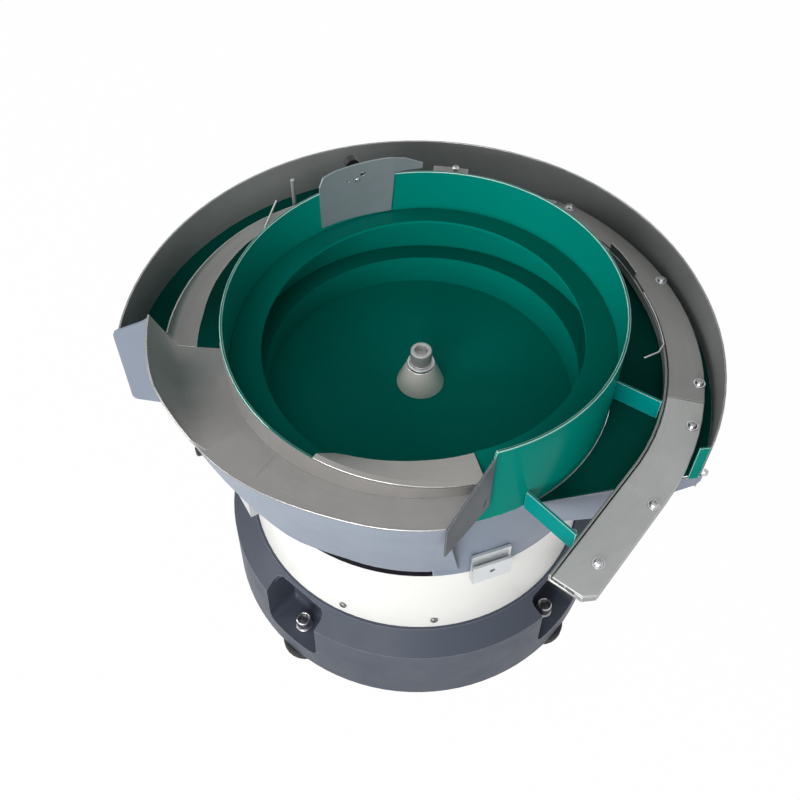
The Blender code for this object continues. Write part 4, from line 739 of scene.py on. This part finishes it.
# Strips of the tray's upstand: azimuths, inner radius in mm, how far below the bowl's rim
# in mm, finish; and their thickness, least height and gap to the tray in mm
LIPS = {
    "tray_lip_rear": (-166, -133, 211.7, 1.2, "stainless"),
    "tray_lip_front": (-133, -75, 211.6, -0.5, "warm_stainless"),
}
LIP_THICKNESS = 0.8
LIP_LEAST = 0.6
LIP_GAP = 0.1

# Radii in mm between which the rim's top and the inner edge of the tray are found
RIM_RADII = (211.2, 212.5)
TRAY_EDGE_RADII = (211.6, 214)

# Weld where the two sheets of the tray meet: azimuth, turn at each step, first radius and
# step in mm, steps, radius, ripple, its length, corners round it, and share at its ends
WELD_AZIMUTH = -130.5
WELD_TURN = 0.03
WELD_START = 213.5
WELD_STEP = 1.05
WELD_STEPS = 30
WELD_RADIUS = 0.55 * MM
WELD_RIPPLE = 0.25
WELD_PITCH = 2.4 * MM
WELD_SIDES = 7
WELD_END = 0.4


def tray_lips():
    """Upstand of the tray's inner edge against the bowl."""
    rim = height_round("bowl_shell", *RIM_RADII)
    floor = height_round("wide_tray", *TRAY_EDGE_RADII)
    for name, (start, end, radius, drop, look) in LIPS.items():
        shape = bmesh.new()
        rings = []
        outer = radius + LIP_THICKNESS
        for azimuth in range(start, end + 1):
            low = floor(azimuth) + LIP_GAP * MM
            high = max(rim(azimuth) - drop * MM, low + LIP_LEAST * MM)
            corners = ((radius, low), (outer, low), (outer, high), (radius, high))
            rings.append([
                shape.verts.new(polar(reach * MM, azimuth, z)) for reach, z in corners
            ])
        sweep(shape, rings)
        mesh_piece(name, shape, "bowl", "stainless", look)


def tray_weld():
    """Weld bead across the tray, with the ripple of its pool."""
    points = [
        seat_on("wide_tray", polar(
            (WELD_START + step * WELD_STEP) * MM, WELD_AZIMUTH + step * WELD_TURN, ABOVE
        ), DOWN).translation
        for step in range(WELD_STEPS)
    ]
    shape = bmesh.new()
    rings = []
    travelled = 0
    for index, point in enumerate(points):
        ahead = points[min(index + 1, len(points) - 1)] - points[max(index - 1, 0)]
        ahead.normalize()
        side = ahead.orthogonal().normalized()
        other = ahead.cross(side)
        if index:
            travelled += (point - points[index - 1]).length
        swell = 1 + WELD_RIPPLE * math.sin(travelled / WELD_PITCH * math.pi)
        if index in (0, len(points) - 1):
            swell = WELD_END
        ring = []
        for step in range(WELD_SIDES):
            angle = 2 * math.pi * step / WELD_SIDES
            offset = side * math.cos(angle) + other * math.sin(angle)
            ring.append(shape.verts.new(point + offset * WELD_RADIUS * swell))
        rings.append(ring)
    sweep(shape, rings)
    mesh_piece("tray_weld", shape, "bowl", "stainless")


# Feet: circle and azimuths, height of the pockets' floor, and (radius, height over that
# floor) in mm of a stud with its washer and hollow head, and of the dark core in the head,
# painted shade for its recess
FOOT_CIRCLE = 215 * MM
FOOT_AZIMUTHS = (-129, -39, 51, 141)
POCKET_FLOOR = 28.3 * MM
FOOT_STUD = (
    (0, -36.7), (6, -36.7), (6, 0.4), (10.6, 0.4), (10.6, 2), (9.2, 2.3), (9.2, 17),
    (7.8, 18), (6.6, 17), (6.2, 8), (0, 8),
)
FOOT_SHADE_CORE = ((0, 8.1), (6, 8.1), (6.3, 14), (4, 14.6), (0, 14.6))


def foot_studs():
    """Adjusting screws of the feet: shank, washer and hollow-topped head."""
    for index, azimuth in enumerate(FOOT_AZIMUTHS, 1):
        seat = Matrix.Translation(polar(FOOT_CIRCLE, azimuth, POCKET_FLOOR))
        piece = turned(
            f"foot_stud_{index}_headed", FOOT_STUD, seat, "base", "zinc", count=32
        )
        soften(piece, STUD_EDGE)
        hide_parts(f"foot_stud_{index}")
        # Painted shade: a dark core fills the hollow head, darkening its recess
        turned(f"foot_stud_{index}_shade_core", FOOT_SHADE_CORE, seat, "base", "zinc", "black_steel")


# Screws that hold the covers of the discharge track: radius in mm and azimuth, the azimuth
# of the covers' seam, and the screws' radius and height, and their washers' shape in mm
COVER_SCREWS = (
    (300.5, 53.5), (300.5, 23.3), (299.6, -6.6), (296.5, -18), (298.6, -39.4), (308, -56.2),
)
COVER_SEAM = -9
COVER_SCREW_RADIUS = 5 * MM
COVER_SCREW_HEIGHT = 3.6 * MM
WASHER = ((0, 0), (6.6, 0), (6.6, 0.9), (0, 0.9))


def discharge_screws():
    """Button-head screws and washers on the covers of the discharge track."""
    for index, (radius, azimuth) in enumerate(COVER_SCREWS, 1):
        node = "discharge_cover_rear" if azimuth > COVER_SEAM else "discharge_cover_front"
        place = seat_on(node, polar(radius * MM, azimuth, ABOVE), DOWN)
        socket_screw(
            f"track_screw_{index}", place, COVER_SCREW_RADIUS, COVER_SCREW_HEIGHT
        )
        washer = turned(f"track_washer_{index}", WASHER, place, "bowl", "zinc", count=32)
        soften(washer, WASHER_EDGE)


# Single fasteners: places, or where the lines that find them start, and profiles of the
# knob and the spacer as (radius, height) in mm
REAR_TAB_SCREW = Vector((0.0337, 0.229, ABOVE))
DEFLECTOR_AZIMUTH = 112.8
DEFLECTOR_START = (0.12, DEFLECTOR_AZIMUTH, 0.447)
BRACKET_SCREW = Vector((150.4, -224.5, 371.2)) * MM
WALL_END_BOLT = (-26, 321 * MM, 360 * MM)
KNOB_PLACE = (-157.5, 249 * MM, 306 * MM)
KNOB = ((0, 0), (6, 0), (6.5, 2), (6, 11), (4, 12.5), (0, 12.5))
SPACER_PLACE = Vector((140, -277, 361)) * MM
SPACER = ((0, 0), (2.2, 0), (2.2, 7), (0, 7))


def small_fasteners():
    """Single screws with their radius and height in mm, the apron's knob and a spacer."""
    through_plate = polar(*DEFLECTOR_START), polar(1, DEFLECTOR_AZIMUTH)
    for name, place, radius, height in (
        ("rear_tab_screw", seat_on("rear_tab", REAR_TAB_SCREW, DOWN), 4.4, 4),
        ("deflector_screw", seat_on("deflector_plate", *through_plate), 2.8, 1.6),
        ("bracket_screw", Matrix.Translation(BRACKET_SCREW), 3, 5),
        ("wall_end_bolt", outward(*WALL_END_BOLT), 4, 5),
    ):
        socket_screw(name, place, radius * MM, height * MM)
    turned("apron_knob", KNOB, outward(*KNOB_PLACE), "bowl", "black_plastic")
    place = Matrix.Translation(SPACER_PLACE)
    turned("track_end_spacer", SPACER, place, "bowl", "zinc", count=16)


# Camera fitted to the photograph's round edges
CAMERA_PLACE = Vector((-4.526, -717.34, 1198.82)) * MM
CAMERA_HEADING = math.radians(-1.447)
CAMERA_DOWN = math.radians(51.98)
CAMERA_ROLL = math.radians(0.774)
CAMERA_LENS = 45
CAMERA_SENSOR = 36
CAMERA_REACH = 50

# Softboxes: place, point that they face, size, power, and whether reflections show them
LAMPS = {
    "front_softbox": ((-1.0, -2.3, 1.25), (0, 0, 0.3), (1.6, 1.0), 49.5, True),
    "left_softbox": ((-2.3, -0.2, 1.2), (0, 0, 0.3), (0.9, 1.1), 15, True),
    "top_softbox": ((-0.3, -0.9, 2.4), (0, 0, 0.3), (1.2, 0.9), 4, True),
    "right_softbox": ((2.2, -1.5, 1.0), (0, 0, 0.25), (0.9, 0.9), 4, False),
}

# Brightness of the room from its back to its front, and its strength below and above
ROOM_GREYS = ((0.0, 0.30), (0.5, 0.55), (1.0, 1.0))
ROOM_BELOW = 0.62
ROOM_ABOVE = 0.25

# Floor: size, gap below the feet, colour, and share of white that the camera sees in it
FLOOR_SIZE = 12
FLOOR_GAP = 0.2 * MM
FLOOR_COLOUR = (0.80, 0.80, 0.80, 1)
FLOOR_GLOW = 0.99


def make_camera():
    """Camera that sees the feeder as the photograph's did."""
    ahead = Vector((math.sin(CAMERA_HEADING), math.cos(CAMERA_HEADING), 0))
    look = ahead * math.cos(CAMERA_DOWN) + DOWN * math.sin(CAMERA_DOWN)
    right = Matrix.Rotation(-CAMERA_ROLL, 3, look) @ ahead.cross(UP)
    turn = Matrix((right, right.cross(look), -look)).transposed().to_4x4()
    lens = bpy.data.cameras.new("photo_camera")
    lens.lens = CAMERA_LENS
    lens.sensor_width = CAMERA_SENSOR
    lens.sensor_fit = "HORIZONTAL"
    lens.clip_end = CAMERA_REACH
    camera = bpy.data.objects.new("photo_camera", lens)
    camera.matrix_world = Matrix.Translation(CAMERA_PLACE) @ turn
    bpy.context.scene.collection.objects.link(camera)
    bpy.context.scene.camera = camera


def make_lamps():
    """Softboxes round the feeder."""
    for name, (place, target, size, power, seen) in LAMPS.items():
        light = bpy.data.lights.new(name, "AREA")
        light.shape = "RECTANGLE"
        light.size, light.size_y = size
        light.energy = power
        lamp = bpy.data.objects.new(name, light)
        lamp.location = place
        aim = Vector(target) - Vector(place)
        lamp.rotation_euler = aim.to_track_quat("-Z", "Y").to_euler()
        lamp.visible_glossy = seen
        bpy.context.scene.collection.objects.link(lamp)


def seen_rays(tree):
    """Factor that is 1 for rays that show the background: from the camera, metal or glass."""
    path = add_node(tree, "LightPath")
    total = path.outputs["Is Camera Ray"]
    for name in ("Is Glossy Ray", "Is Transmission Ray"):
        most = add_node(tree, "Math", {0: total, 1: path.outputs[name]}, operation="MAXIMUM")
        total = most.outputs[0]
    return total


def make_world():
    """Soft room light, and a plain pale background where a ray shows it."""
    world = bpy.data.worlds.new("studio")
    world.use_nodes = True
    bpy.context.scene.world = world
    tree = world.node_tree
    tree.nodes.clear()
    coords = add_node(tree, "TexCoord")
    split = add_node(tree, "SeparateXYZ", {0: coords.outputs["Generated"]})
    front = add_node(
        tree, "MapRange", {"Value": split.outputs["Y"], "From Min": 1, "From Max": -1}
    )
    room = add_node(tree, "ValToRGB", {"Fac": front.outputs["Result"]})
    while len(room.color_ramp.elements) < len(ROOM_GREYS):
        room.color_ramp.elements.new(0.5)
    for element, (place, grey) in zip(room.color_ramp.elements, ROOM_GREYS):
        element.position = place
        element.color = (grey, grey, grey, 1)
    strength = add_node(
        tree, "MapRange",
        {"Value": split.outputs["Z"], "To Min": ROOM_BELOW, "To Max": ROOM_ABOVE},
    )
    studio = add_node(tree, "Background", {
        "Color": room.outputs["Color"], "Strength": strength.outputs["Result"],
    })
    pale = add_node(tree, "Background", {"Strength": 1.0})
    mixed = add_node(tree, "MixShader", {
        "Fac": seen_rays(tree), 1: studio.outputs[0], 2: pale.outputs[0],
    })
    add_node(tree, "OutputWorld", {"Surface": mixed.outputs[0]})


def make_floor():
    """Pale floor that shows as white, with a faint shadow of the feeder."""
    mesh = bpy.data.meshes.new("floor")
    shape = bmesh.new()
    bmesh.ops.create_grid(shape, x_segments=1, y_segments=1, size=FLOOR_SIZE / 2)
    shape.to_mesh(mesh)
    shape.free()
    floor = bpy.data.objects.new("floor", mesh)
    floor.location.z = cad_low.z - FLOOR_GAP
    bpy.context.scene.collection.objects.link(floor)
    material = bpy.data.materials.new("floor")
    material.use_nodes = True
    tree = material.node_tree
    tree.nodes.clear()
    diffuse = add_node(tree, "BsdfDiffuse", {"Color": FLOOR_COLOUR})
    glow = add_node(tree, "Emission")
    share = add_node(tree, "Math", {0: seen_rays(tree), 1: FLOOR_GLOW}, operation="MULTIPLY")
    mixed = add_node(tree, "MixShader", {
        "Fac": share.outputs[0], 1: diffuse.outputs[0], 2: glow.outputs[0],
    })
    add_node(tree, "OutputMaterial", {"Surface": mixed.outputs[0]})
    mesh.materials.append(material)


make_camera()
make_lamps()
make_world()
make_floor()
dress_nodes()
flat_plates()
tray_lips()
tray_weld()
foot_studs()
discharge_screws()
small_fasteners()
bpy.context.scene.view_settings.view_transform = "Standard"
